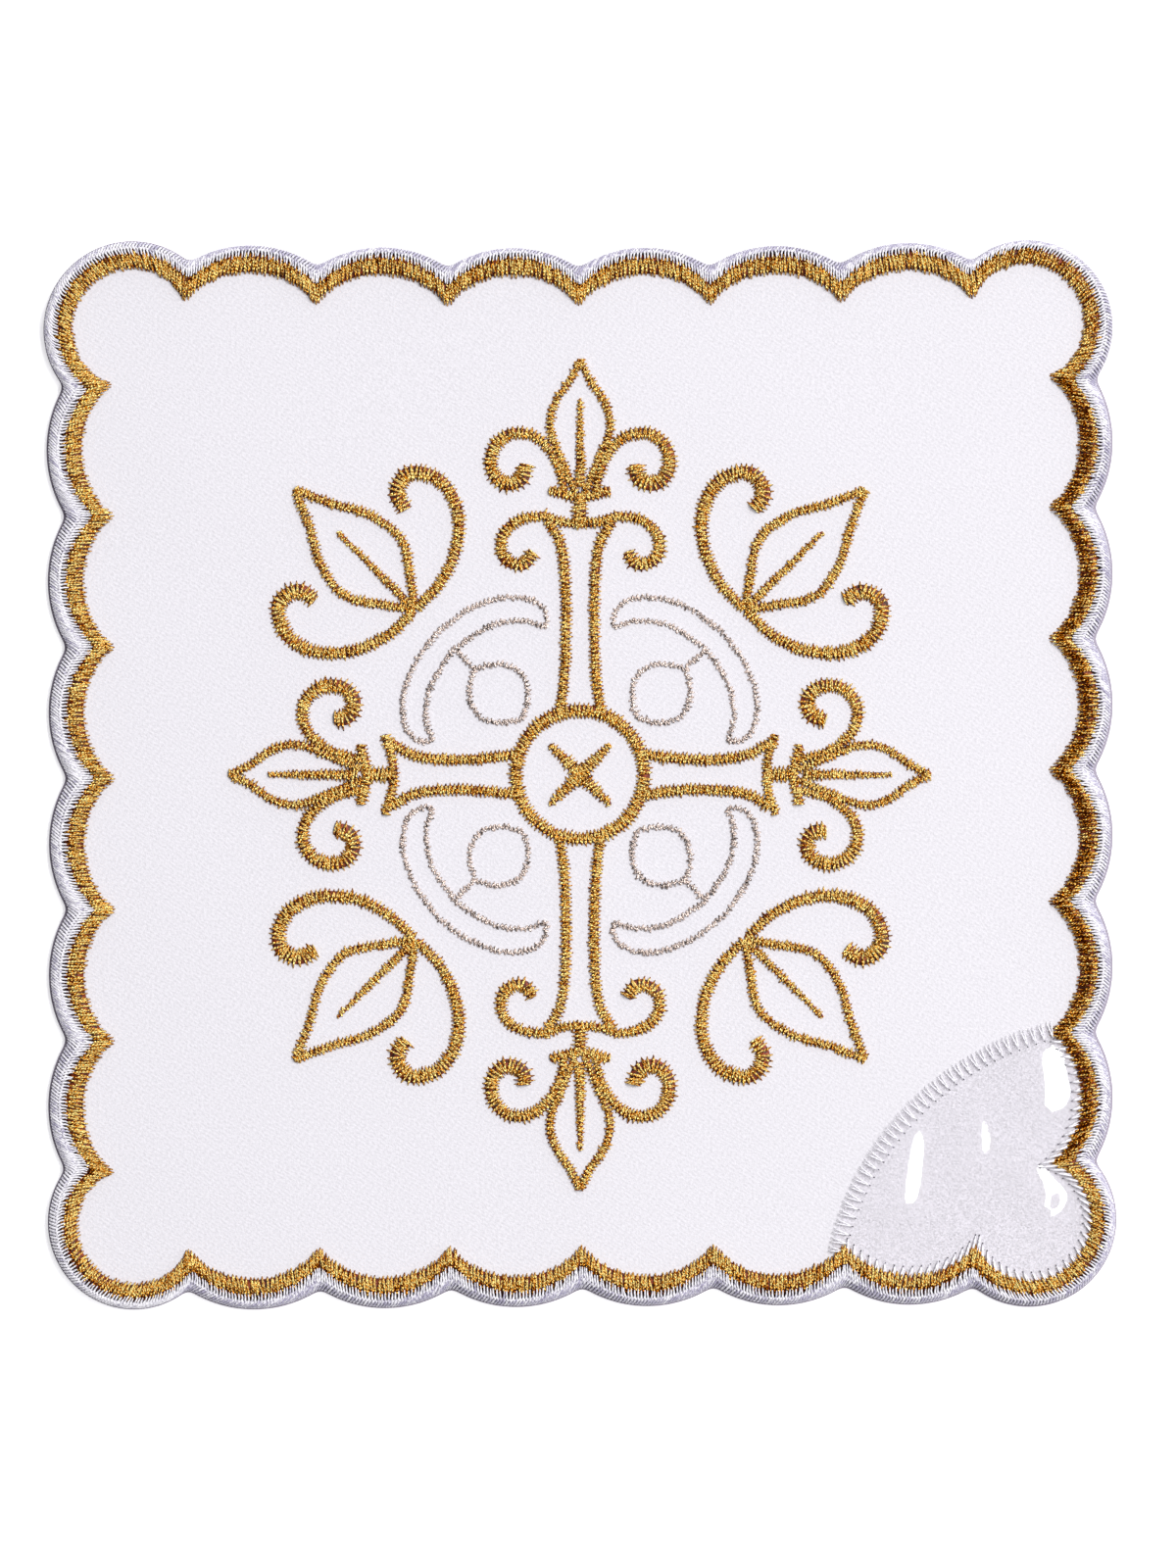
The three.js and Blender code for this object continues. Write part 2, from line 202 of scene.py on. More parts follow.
class FilmSizes(bpy.types.PropertyGroup):
    """Sizes of the clear film and its zigzag seam"""

    centre: bpy.props.FloatVectorProperty(
        name="Centre", description="Middle of the film's arc", size=2, unit="LENGTH",
        default=(76.1 * MM, -75.7 * MM)
    )
    radius: length_field("Radius", "Radius of the film's arc", 42.0 * MM)
    thickness: length_field("Thickness", "Thickness of the film", 0.2 * MM)
    zigzag_pitch: length_field("Zigzag pitch", "From one zigzag tip to the next", 1.31 * MM)
    zigzag_width: length_field("Zigzag width", "Width of the zigzag on the arc", 2.45 * MM)
    zigzag_reach: length_field("Zigzag reach", "How far its tips come out of the gold", 0.95 * MM)


class PallColours(bpy.types.PropertyGroup):
    """Colours of the cloths, threads and film"""

    cloth: colour_field("Cloth", "White twill", (0.715, 0.695, 0.735))
    # The back cloth's lilac grey is darkened as painted shade for its rim, where it peeks out past the white
    # bead.
    back: colour_field("Back cloth", "Plain under cloth", (0.38, 0.34, 0.41))
    white: colour_field("White thread", "Edging thread", (0.82, 0.80, 0.85))
    white_shade: colour_field("White shade", "Edging thread in its folds", (0.36, 0.33, 0.46))
    gold: colour_field("Gold thread", "Metal-wrapped gold", (1.0, 0.32, 0.004))
    gold_light: colour_field("Gold glint", "Where the wrap shines", (1.0, 0.82, 0.30))
    gold_dark: colour_field("Gold shade", "Between the threads", (0.37, 0.045, 0.001))
    silver: colour_field("Silver thread", "Metal-wrapped silver", (0.82, 0.69, 0.62))
    # The needle hole colour is painted shade for the hollow of each hole.
    hole: colour_field("Needle hole", "Needle holes in the film", (0.12, 0.11, 0.15))
    film: colour_field("Film", "Clear film", (0.90, 0.86, 0.93))


class StageSettings(bpy.types.PropertyGroup):
    """The floor, the lights and the camera"""

    view: bpy.props.FloatVectorProperty(
        name="Camera", description="Place of the camera", size=3, unit="LENGTH",
        default=(1.1 * MM, -1.3 * MM, 0.9)
    )
    frame_height: length_field("Frame height", "Height of the picture at the pall", 219.8 * MM)
    key: number_field("Key light", "Power of the key light, in watts", 78.0)
    strip: number_field("Strip light", "Power of the strip light, in watts", 3.3)
    fill: number_field("Fill", "Brightness of the surroundings", 0.5)
    lean: number_field("Lean", "How much brighter the surroundings are to the upper right", 0.5)
    glow: number_field("Floor glow", "Light given off by the floor", 0.5)
    floor: colour_field("Floor", "Pale floor", (0.93, 0.93, 0.94))


# Plane geometry, in millimetres


def turned(point, degrees):
    angle = math.radians(degrees)
    cosine, sine = math.cos(angle), math.sin(angle)
    return (cosine * point[0] - sine * point[1], sine * point[0] + cosine * point[1])


def arc_centre(start, end, radius, side):
    """Centre of the circle through two points, to the left (side 1) or right (side -1) of their chord."""
    along = (end[0] - start[0], end[1] - start[1])
    chord = math.hypot(*along)
    rise = side * math.sqrt(radius**2 - (chord / 2) ** 2) / chord
    return ((start[0] + end[0]) / 2 - along[1] * rise, (start[1] + end[1]) / 2 + along[0] * rise)


def crossing(first, first_radius, second, second_radius):
    """The outer one of the two points where two neighbouring arcs cross."""
    distance = math.dist(first, second)
    ux, uy = (second[0] - first[0]) / distance, (second[1] - first[1]) / distance
    reach = (first_radius**2 - second_radius**2 + distance**2) / (2 * distance)
    out = math.sqrt(first_radius**2 - reach**2)
    return (first[0] + ux * reach + uy * out, first[1] + uy * reach - ux * out)


def notches_of(side):
    middle = (NOTCHES_PER_SIDE - 1) / 2
    row = []
    for index in range(NOTCHES_PER_SIDE):
        place = (index - middle) / middle
        reach = side["reach"] - side["bow"] * (1 - place**2) + side["lean"] * place
        row.append(turned(((index - middle) * NOTCH_PITCH + side["shift"], -reach), side["turn"]))
    return row


def outline_arcs():
    """The arcs of the outline, counter-clockwise from the lower left."""
    notches = [notches_of(side) for side in SIDES]
    arcs = []
    for index, (side, corner) in enumerate(zip(SIDES, CORNERS)):
        row = notches[index]
        for start, end in zip(row, row[1:]):
            centre = arc_centre(start, end, SCALLOP_RADIUS, 1)
            rims = (side["rim"], side["rim"])
            outward = turned((0, -1), side["turn"])
            arcs.append({**side, "centre": centre, "radius": SCALLOP_RADIUS, "rims": rims,
                         "gold": GOLD_WIDTH, "outward": outward})
        centre = arc_centre(row[-1], notches[(index + 1) % len(SIDES)][0], corner["radius"], -1)
        rims = (corner["start_rim"], corner["end_rim"])
        arcs.append({**corner, "centre": centre, "rims": rims, "gold": CORNER_GOLD_WIDTH, "outward": None})
    return arcs


ARCS = outline_arcs()


# A line is given by how far its arcs slide outwards, and how much their radius grows from start to end.
# Gold stitches lie side by side, so their two ends follow arcs that have slid; the outer edge has grown.


def fixed(distance):
    """A line that lies one distance outside the gold's inner edge all round."""
    return lambda arc: (0, distance, distance)


def gold_share(share, more=0.0):
    """A line at a share of the gold's width, and a little more."""
    return lambda arc: (arc["gold"] * share + more, 0, 0)


def edge_share(share):
    """A line at a share of the way from the gold's outer edge to the white bead's outer edge."""
    return lambda arc: (arc["gold"] * (1 - share), *((rim - arc["peek"]) * share for rim in arc["rims"]))


def comb_share(share):
    """A line at a share of the way in that the white stitches reach over the gold."""
    return lambda arc: (arc["gold"] - arc["comb"] * share, 0, 0)


def outermost(arc):
    return (0, *arc["rims"])


def circles_of(line):
    """The centre of each arc of a line, and its radius where it starts and ends."""
    circles = []
    for arc in ARCS:
        slide, first, last = line(arc)
        centre, radius = arc["centre"], arc["radius"]
        if arc["outward"]:
            centre = tuple(place + slide * way for place, way in zip(centre, arc["outward"]))
        else:
            radius += slide
        circles.append((centre, radius + first, radius + last))
    return circles


def outline(line, steps):
    """The closed line, as points with steps[k] steps on arc k."""
    circles = circles_of(line)
    points = []
    for index, (centre, first, last) in enumerate(circles):
        before, after = circles[index - 1], circles[(index + 1) % len(circles)]
        start = crossing(before[0], before[2], centre, first)
        end = crossing(centre, last, after[0], after[1])
        start_angle = math.atan2(start[1] - centre[1], start[0] - centre[0])
        end_angle = math.atan2(end[1] - centre[1], end[0] - centre[0])
        if end_angle < start_angle:
            end_angle += 2 * math.pi
        part = np.arange(steps[index]) / steps[index]
        angle = start_angle + (end_angle - start_angle) * part
        radius = first + (last - first) * part
        points.append(np.array(centre) + np.stack([radius * np.cos(angle), radius * np.sin(angle)], axis=1))
    return np.concatenate(points) - MIDDLE


MIDDLE = np.zeros(2)
EDGE = outline(outermost, [12] * len(ARCS))
MIDDLE = (EDGE.min(axis=0) + EDGE.max(axis=0)) / 2


def arc_steps(line, pitch):
    """How many stitches of that pitch fit on each arc of a line."""
    samples = 40
    fine = outline(line, [samples] * len(ARCS)).reshape(len(ARCS), samples, 2)
    closed = np.concatenate([fine, np.roll(fine[:, :1], -1, axis=0)], axis=1)
    lengths = np.linalg.norm(np.diff(closed, axis=1), axis=2).sum(axis=1)
    return [max(4, round(length / pitch)) for length in lengths]


def rounded(points, steps, passes=4):
    """The line with its notches rounded off, as where thread is pulled round them."""
    near = notch_nearness(points, steps)
    pull = 0.6
    for _ in range(passes):
        between = (np.roll(points, 1, axis=0) + np.roll(points, -1, axis=0)) / 2
        points = points + (between - points) * pull * near
    return points


def notch_nearness(points, steps, width=2.5):
    """1 at the notches and falling to 0 away from them, for each point of a line with those steps."""
    notches = points[np.cumsum([0, *steps[:-1]])]
    distance = np.linalg.norm(points[:, None] - notches[None], axis=2).min(axis=1)
    return np.exp(-((distance / width) ** 2))[:, None]


def smooth(points, pitch, closed=False):
    """A centripetal Catmull-Rom line through points, as even steps of about the pitch."""
    points = np.array(points, dtype=float)
    if closed:
        ends = np.concatenate([points[-1:], points, points[:2]])
    else:
        ends = np.concatenate([[2 * points[0] - points[1]], points, [2 * points[-1] - points[-2]]])
    fine = []
    for p0, p1, p2, p3 in zip(ends, ends[1:], ends[2:], ends[3:]):
        gaps = [math.sqrt(np.linalg.norm(b - a)) for a, b in ((p0, p1), (p1, p2), (p2, p3))]
        knots = np.cumsum([0.0, *gaps])
        t = np.linspace(knots[1], knots[2], 24, endpoint=False)[:, None]

        def mixed(a, b, start, end):
            return (a * (end - t) + b * (t - start)) / (end - start)

        a1 = mixed(p0, p1, knots[0], knots[1])
        a2 = mixed(p1, p2, knots[1], knots[2])
        a3 = mixed(p2, p3, knots[2], knots[3])
        b1 = mixed(a1, a2, knots[0], knots[2])
        b2 = mixed(a2, a3, knots[1], knots[3])
        fine.append(mixed(b1, b2, knots[1], knots[2]))
    fine = np.concatenate(fine + [points[:1] if closed else points[-1:]])
    run = np.concatenate([[0.0], np.cumsum(np.linalg.norm(np.diff(fine, axis=0), axis=1))])
    count = max(2, round(run[-1] / pitch))
    wanted = np.linspace(0, run[-1], count + 1)
    return np.stack([np.interp(wanted, run, fine[:, k]) for k in (0, 1)], axis=1)


# Motif lines, in millimetres, each arm or quarter along +Y


def arm_lines(tip, curled):
    """Stem, two bands with a knop between them, side petals, middle petal and its vein."""

    def down(*places):
        return [(x, tip - below) for x, below in places]

    lines = [
        {"pair": True, "points": [
            (2.9, RING_RADIUS - 0.4), (2.2, 14), *down((2.1, 30.5), (2.8, 25.5), (4.6, 22.4))]},
        {"width": 1.6, "points": down((-5.6, 21.6), (-2.8, 22.6), (0, 22.9), (2.8, 22.6), (5.6, 21.6))},
        {"width": 2.4, "points": down((0, 22.9), (0, 18.8))},
        {"points": down((-4.2, 18.2), (0, 19.2), (4.2, 18.2))},
        {"pair": True, "width": 1.4, "end_width": 2.8, "points": down(
            (2.0, 18.8), (3.6, 13.6), (6.6, 10.6), (10.0, 10.4), (12.2, 12.6), (12.3, 15.6), (10.4, 17.4),
            (8.1, 16.6), (7.7, 14.6))},
        {"pair": True, "width": 1.4, "points": down(
            (0.7, 18.6), (2.4, 14.4), (4.2, 9.6), (3.6, 6.2), (1.2, 2.6), (0, 0))},
        {"width": 0.8, "end_width": 2.0, "points": down((0, 5.4), (0, 17.8))},
    ]
    if curled:
        lines.append({"pair": True, "width": 1.5, "end_width": 2.4, "points": down(
            (5.2, 21.8), (8.6, 22.4), (10.9, 24.6), (10.6, 27.8), (7.9, 28.6), (6.6, 26.8))})
    return lines


RING_LINE = {"width": 2.2, "closed": True, "points": [turned((RING_RADIUS, 0), 30 * k) for k in range(12)]}
STAR_LINE = {"width": 2.8, "end_width": 1.0, "points": [(0, -0.4), (0, 3), (0, 6)]}
CRESCENT_LINES = [
    {"pair": True, "width": SILVER_LINE, "points": [
        (11.2, 17.9), (12.5, 19.2), (12.7, 21.4), (10.4, 24.7), (6.0, 27.1), (0, 28.2)]},
    {"pair": True, "width": SILVER_LINE, "points": [(11.2, 17.9), (9.8, 20.6), (6.0, 23.5), (0, 24.9)]},
    {"pair": True, "width": SILVER_LINE, "points": [
        (0, 11.2), (2.6, 12.9), (4.2, 15.6), (3.1, 18.8), (0, 20.9)]},
    {"width": SILVER_LINE, "points": [(0, 20.9), (0, 24.9)]},
]
SPRIG_LINES = [
    {"pair": True, "width": 1.5, "points": [
        (0, 32.6), (2.6, 36.2), (5.6, 41), (4.8, 46.6), (2.2, 51.4), (0, 56.4)]},
    {"pair": True, "width": 1.6, "end_width": 2.8, "points": [
        (0.2, 32.6), (5.2, 32.8), (10.4, 34.8), (14.2, 38.6), (15.2, 43.2), (12.8, 46.8), (9.6, 46.0),
        (9.0, 43.4)]},
    {"width": 1.6, "end_width": 0.8, "points": [(0, 33), (0, 39), (0, 48)]},
]


def placed(lines, degrees):
    """Lines turned round the middle of the motif, each with its mirror image where it has one."""
    copies = []
    for line in lines:
        for side in (1, -1) if line.get("pair") else (1,):
            copies.append({**line, "points": [turned((side * x, y), degrees) for x, y in line["points"]]})
    return copies


def cross_lines():
    lines = [RING_LINE]
    for degrees in (0, 90, 180, 270):
        long = degrees % 180 == 0
        lines += placed(arm_lines(LONG_ARM if long else SHORT_ARM, long), degrees)
    return lines


# Threads


class ThreadForm:
    """One straight thread along X from 0 to 1, modelled once and copied for every stitch."""

    def __init__(self, sides, segments):
        bpy.ops.object.select_all(action="DESELECT")
        bpy.ops.mesh.primitive_cylinder_add(
            vertices=sides, radius=1, depth=1, location=(0.5, 0, 0), rotation=(0, math.pi / 2, 0)
        )
        form = bpy.context.object
        bpy.ops.object.transform_apply(location=True, rotation=True, scale=True)
        bpy.ops.object.mode_set(mode="EDIT")
        bpy.ops.mesh.select_mode(type="EDGE")
        bpy.ops.mesh.select_all(action="DESELECT")
        bpy.ops.object.mode_set(mode="OBJECT")
        for edge in form.data.edges:
            ends = [form.data.vertices[k].co for k in edge.vertices]
            edge.select = abs(ends[0].x - ends[1].x) > 0.5
        bpy.ops.object.mode_set(mode="EDIT")
        bpy.ops.mesh.subdivide(number_cuts=segments - 1)
        bpy.ops.object.mode_set(mode="OBJECT")
        mesh = form.data
        place = np.array([vertex.co for vertex in mesh.vertices])
        self.segments = segments
        self.ring = np.rint(place[:, 0] * segments).astype(int)
        self.across = place[:, 1]
        self.up = place[:, 2]
        self.corners = np.array([loop.vertex_index for loop in mesh.loops])
        self.starts = np.array([face.loop_start for face in mesh.polygons])
        turn = np.arctan2(self.up, self.across) / (2 * math.pi) % 1.0
        self.turn = turn[self.corners]
        for face in mesh.polygons:
            own = slice(face.loop_start, face.loop_start + face.loop_total)
            if np.ptp(self.turn[own]) > 0.5:
                self.turn[own] = np.where(self.turn[own] < 0.5, self.turn[own] + 1, self.turn[own])
        bpy.data.objects.remove(form, do_unlink=True)
        bpy.data.meshes.remove(mesh)


def unit(vectors):
    return vectors / np.maximum(np.linalg.norm(vectors, axis=-1, keepdims=True), 1e-12)


def lay_threads(name, form, paths, half_width, tints, finish, taper=None, depths=None, flatness=FLATNESS):
    """One mesh of threads: paths holds each thread's middle line, in metres, with a point for each ring.

    flatness: how high a thread is against its width.
    taper: how wide a thread is at each ring; without it, a thread narrows at both ends.
    depths: how much painted shade each thread takes at each ring; without it, a thread is painted darker at
    both ends, where it dives into the cloth.
    """
    count = len(paths)
    along = unit(np.gradient(paths, axis=1))
    across = unit(np.cross(np.array([0.0, 0.0, 1.0]), along))
    up = np.cross(along, across)
    part = np.linspace(0, 1, form.segments + 1)
    if taper is None:
        taper = 0.45 + 0.55 * np.sin(math.pi * part) ** 0.4
    ring = form.ring
    width = (np.broadcast_to(half_width, count)[:, None] * taper)[:, ring, None]
    height = width * flatness
    points = paths[:, ring] + across[:, ring] * form.across[None, :, None] * width
    points = points + up[:, ring] * form.up[None, :, None] * height
    mesh = bpy.data.meshes.new(name)
    mesh.vertices.add(points.shape[0] * points.shape[1])
    mesh.vertices.foreach_set("co", points.ravel())
    shift = np.arange(count)[:, None]
    mesh.loops.add(count * len(form.corners))
    mesh.loops.foreach_set("vertex_index", (form.corners + shift * len(ring)).ravel())
    mesh.polygons.add(count * len(form.starts))
    mesh.polygons.foreach_set("loop_start", (form.starts + shift * len(form.corners)).ravel())
    mesh.update(calc_edges=True)
    length = np.linalg.norm(np.diff(paths, axis=1), axis=2).sum(axis=1) / MM
    twist = mesh.uv_layers.new(name="twist")
    u = (ring[form.corners] / form.segments)[None, :] * length[:, None] + tints[:, None] * 7
    v = np.broadcast_to(form.turn, u.shape)
    twist.data.foreach_set("uv", np.stack([u, v], axis=2).ravel())
    if depths is None:
        depths = np.tile((2 * part - 1) ** 4, (count, 1))
    for stored, values in (("tint", np.repeat(tints, len(ring))), ("depth", depths[:, ring].ravel())):
        mesh.attributes.new(name=stored, type="FLOAT", domain="POINT").data.foreach_set("value", values)
    return finished(name, mesh, finish)


def finished(name, mesh, finish):
    """A new smooth-shaded piece in the scene, made of that mesh."""
    mesh.polygons.foreach_set("use_smooth", np.ones(len(mesh.polygons), dtype=bool))
    mesh.materials.append(finish)
    piece = bpy.data.objects.new(name, mesh)
    bpy.context.collection.objects.link(piece)
    return piece


def arched(starts, ends, low, rise, form, fullness=0.5, sway=None):
    """Middle lines from start to end points (millimetres), rising in a crown over the cloth, in metres.

    sway: how far each thread bends sideways, in millimetres: once as a bow and once as an S.
    """
    part = np.linspace(0, 1, form.segments + 1)
    flat = starts[:, None] * (1 - part)[None, :, None] + ends[:, None] * part[None, :, None]
    if sway is not None:
        along = unit(ends - starts)
        aside = np.stack([along[:, 1], -along[:, 0]], axis=1)
        bend = np.sin(math.pi * part) * sway[0][:, None] + np.sin(2 * math.pi * part) * sway[1][:, None]
        flat = flat + aside[:, None] * bend[:, :, None]
    height = low + np.asarray(rise)[..., None] * np.sin(math.pi * part) ** fullness
    height = np.broadcast_to(height, flat.shape[:2])
    return np.concatenate([flat * MM, height[:, :, None]], axis=2)


def skin(name, grid, finish, closed=True):
    """A sheet over a grid of points in metres. Where it is closed, its last row meets its first."""
    rows, columns = grid.shape[:2]
    mesh = bpy.data.meshes.new(name)
    faces = []
    for row in range(rows if closed else rows - 1):
        here, after = row * columns, (row + 1) % rows * columns
        for column in range(columns - 1):
            faces.append((here + column, after + column, after + column + 1, here + column + 1))
    mesh.from_pydata(grid.reshape(-1, 3).tolist(), [], faces)
    return finished(name, mesh, finish)


def joined(name, parts):
    """Several pieces made one."""
    bpy.ops.object.select_all(action="DESELECT")
    for part in parts:
        part.select_set(True)
    bpy.context.view_layer.objects.active = parts[0]
    bpy.ops.object.join()
    parts[0].name = name
    parts[0].data.name = name
    parts[0].select_set(False)
    return parts[0]


# Sheets


def webbed_sheet(name, points, rings, middle=(0.0, 0.0)):
    """A flat sheet inside a closed line, in metres, drawn in ring by ring and closed at the middle."""
    bpy.ops.object.select_all(action="DESELECT")
    bpy.ops.mesh.primitive_circle_add(vertices=len(points), radius=1, fill_type="NOTHING")
    sheet = bpy.context.object
    sheet.name = name
    sheet.data.name = name
    for vertex, (x, y) in zip(sheet.data.vertices, points):
        vertex.co = (x - middle[0], y - middle[1], 0)
    bpy.ops.object.mode_set(mode="EDIT")
    bpy.ops.mesh.select_mode(type="VERT")
    bpy.ops.mesh.select_all(action="SELECT")
    for ring in range(rings - 1, 0, -1):
        bpy.ops.mesh.extrude_edges_move()
        shrink = ring / (ring + 1)
        bpy.ops.transform.resize(value=(shrink, shrink, 1), center_override=(0, 0, 0))
    bpy.ops.mesh.extrude_edges_move()
    bpy.ops.mesh.merge(type="CENTER")
    bpy.ops.mesh.select_all(action="SELECT")
    bpy.ops.mesh.normals_make_consistent(inside=False)
    bpy.ops.object.mode_set(mode="OBJECT")
    place = np.array([vertex.co for vertex in sheet.data.vertices]) + np.array([*middle, 0.0])
    if sheet.data.polygons[0].normal.z < 0:
        sheet.data.flip_normals()
    sheet.data.vertices.foreach_set("co", place.ravel())
    return sheet


def laid(sheet, height_at, thickness, finish):
    """Give the sheet its height at each place, its thickness below that, and its finish."""
    place = np.array([vertex.co for vertex in sheet.data.vertices])
    place[:, 2] = [height_at(x, y) for x, y, _ in place]
    sheet.data.vertices.foreach_set("co", place.ravel())
    sheet.data.materials.append(finish)
    solid = sheet.modifiers.new("Thickness", "SOLIDIFY")
    solid.thickness = thickness
    solid.offset = -1
    solid.use_even_offset = False
    bpy.context.view_layer.objects.active = sheet
    bpy.ops.object.modifier_apply(modifier=solid.name)
    sheet.data.polygons.foreach_set("use_smooth", np.ones(len(sheet.data.polygons), dtype=bool))
    bpy.ops.object.select_all(action="DESELECT")
    sheet.select_set(True)
    bpy.ops.object.shade_smooth_by_angle(angle=math.radians(40))
    sheet.select_set(False)


def film_height(x, y):
    """How far the film stands off the cloth, in millimetres: its swellings are long and flat on top."""
    height = 0.0
    for (place_x, place_y), (half_width, half_length), rise, degrees in SWELLINGS:
        u, v = turned((x - place_x, y - place_y), -degrees)
        height = height + rise * np.exp(-((u / half_width) ** 2) - (v / half_length) ** 4)
    return height


def over_film(paths):
    """The paths, raised by as much as the film under them stands off the cloth."""
    x, y = paths[:, :, 0] / MM, paths[:, :, 1] / MM
    paths[:, :, 2] += film_height(x, y) * MM
    return paths


# Finishes


class NodeTree:
    """The nodes of a finish or of the surroundings. An input takes a value or another node's output."""

    def __init__(self, tree):
        self.nodes, self.links = tree.nodes, tree.links

    def feed(self, socket, value):
        if isinstance(value, bpy.types.NodeSocket):
            self.links.new(value, socket)
        else:
            socket.default_value = value

    def add(self, kind, inputs):
        node = self.nodes.new("ShaderNode" + kind)
        for name, value in inputs.items():
            self.feed(node.inputs[name], value)
        return node

    def math(self, operation, *values):
        node = self.add("Math", {})
        node.operation = operation
        for socket, value in zip(node.inputs, values):
            self.feed(socket, value)
        return node.outputs[0]

    def where(self):
        return self.nodes.new("ShaderNodeTexCoord").outputs["Object"]

    def stored(self, name):
        """A value that each thread keeps along its length."""
        node = self.nodes.new("ShaderNodeAttribute")
        node.attribute_name = name
        return node.outputs["Fac"]

    def grain(self, scale, detail=2.0, roughness=0.5):
        inputs = {"Vector": self.where(), "Scale": scale, "Detail": detail, "Roughness": roughness}
        return self.add("TexNoise", inputs).outputs["Fac"]

    def ramp(self, factor, stops):
        node = self.nodes.new("ShaderNodeValToRGB")
        self.feed(node.inputs[0], factor)
        elements = node.color_ramp.elements
        while len(elements) < len(stops):
            elements.new(0.5)
        for element, (place, colour) in zip(elements, stops):
            element.position = place
            element.color = (*colour, 1)
        return node.outputs[0]

    def bump(self, height, distance):
        return self.add("Bump", {"Height": height, "Distance": distance, "Strength": 1.0}).outputs[0]

    def shade(self, inputs):
        """Set the inputs of the finish's shader."""
        shader = self.nodes["Principled BSDF"]
        for name, value in inputs.items():
            self.feed(shader.inputs[name], value)


def new_finish(name):
    finish = bpy.data.materials.new(name)
    finish.use_nodes = True
    return finish, NodeTree(finish.node_tree)


def shaded(colour, share):
    return tuple(channel * share for channel in colour)


def cloth_finish(name, colour, bump_height):
    """Fine cloth: a faint slanting rib and a second one across it, under a fine grain."""
    finish, tree = new_finish(name)
    weave = tree.math("MULTIPLY", tree.grain(CLOTH_GRAIN, 4, 0.65), GRAIN_SHARE)
    for degrees, size in RIBS:
        turn = {"Vector": tree.where(), "Rotation": (0, 0, math.radians(degrees))}
        rib = {"Scale": math.pi / (10 * size * MM), "Distortion": 4.0, "Detail": 2.0, "Detail Scale": 1.6}
        wave = tree.add("TexWave", {"Vector": tree.add("Mapping", turn).outputs[0], **rib})
        wave.wave_type = "BANDS"
        wave.bands_direction = "X"
        weave = tree.math("ADD", weave, wave.outputs["Fac"])
    height = tree.math("MULTIPLY", weave, 1 / (len(RIBS) + GRAIN_SHARE))
    tree.shade({
        "Base Color": tree.ramp(height, [(0.35, shaded(colour, 0.9)), (0.65, shaded(colour, 1.04))]),
        "Roughness": 0.82,
        "Sheen Weight": 0.12,
        "Sheen Roughness": 0.5,
        "Normal": tree.bump(height, bump_height),
    })
    return finish


def thread_finish(name, tones, metal, roughness, twist_pitch, bump_height, sparkle=1.0):
    """Twisted thread, each stitch a little different. tones run from painted shade to painted glint."""
    finish, tree = new_finish(name)
    place = tree.add("UVMap", {})
    place.uv_map = "twist"
    split = tree.add("SeparateXYZ", {0: place.outputs[0]})
    along, around = split.outputs[0], split.outputs[1]
    tint = tree.stored("tint")
    turns = tree.math("MULTIPLY_ADD", along, 1 / twist_pitch, around)
    wave = tree.math("SINE", tree.math("MULTIPLY", turns, 2 * math.pi))
    drawn = tree.add("CombineXYZ", {
        0: tree.math("MULTIPLY", along, 0.8),
        1: tree.math("MULTIPLY", around, 1.6),
        2: tree.math("MULTIPLY", tint, 91.0),
    })
    fleck = tree.add("TexNoise", {"Vector": drawn.outputs[0], "Scale": 3.2, "Detail": 2}).outputs["Fac"]
    variety = 0.8 if metal else 0.3
    # The base colour carries painted light: random flecks and the twist's wave brighten it into painted
    # glints, and the stored depth darkens it with painted shade.
    tone = tree.math("MULTIPLY_ADD", fleck, 4.4 * sparkle, 0.76 - 2.2 * sparkle - variety / 2)
    tone = tree.math("MULTIPLY_ADD", wave, 0.16 * sparkle, tone)
    tone = tree.math("MULTIPLY_ADD", tint, variety, tone)
    tone = tree.math("MULTIPLY_ADD", tree.stored("depth"), -0.45, tone)
    tree.shade({
        "Base Color": tree.ramp(tone, list(zip(np.linspace(0.08, 0.92, len(tones)), tones))),
        "Metallic": metal,
        "Roughness": roughness,
        "Normal": tree.bump(wave, bump_height),
    })
    if metal:
        tree.shade({"Specular Tint": (*tones[-2], 1), "Specular IOR Level": 0.15})
    return finish


def shaded_padding_finish(name, colour, metal=0.0):
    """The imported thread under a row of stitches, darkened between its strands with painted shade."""
    finish, tree = new_finish(name)
    grain = tree.grain(CLOTH_GRAIN)
    tree.shade({
        "Base Color": tree.ramp(grain, [(0.42, shaded(colour, 0.12)), (0.62, colour)]),
        "Metallic": metal,
        "Roughness": 0.5,
        "Normal": tree.bump(grain, 0.1 * MM),
    })
    return finish


def film_finish(colour):
    """Clear glossy film with a fine grey grain."""
    finish, tree = new_finish("glossy_film")
    tones = [(0.42, shaded(colour, 0.35)), (0.58, shaded(colour, 1.4))]
    tree.shade({
        "Base Color": tree.ramp(tree.grain(FILM_GRAIN, 4, 0.65), tones),
        "Alpha": 0.13,
        "Roughness": 0.04,
        "IOR": 1.55,
        "Specular IOR Level": 0.8,
        "Coat Weight": 1.0,
        "Coat Roughness": 0.04,
    })
    return finish


def floor_finish(colour, glow):
    """Pale matt floor that glows a little, as a light table does."""
    finish, tree = new_finish("pale_floor")
    tree.shade({
        "Base Color": tree.ramp(tree.grain(FLOOR_GRAIN), [(0.3, shaded(colour, 0.995)), (0.7, colour)]),
        "Roughness": 0.9,
        "Emission Color": (1, 1, 1, 1),
        "Emission Strength": glow,
    })
    return finish


def once(name, make, *settings):
    """The finish of that name, made only the first time it is asked for."""
    return bpy.data.materials.get(name) or make(name, *settings)


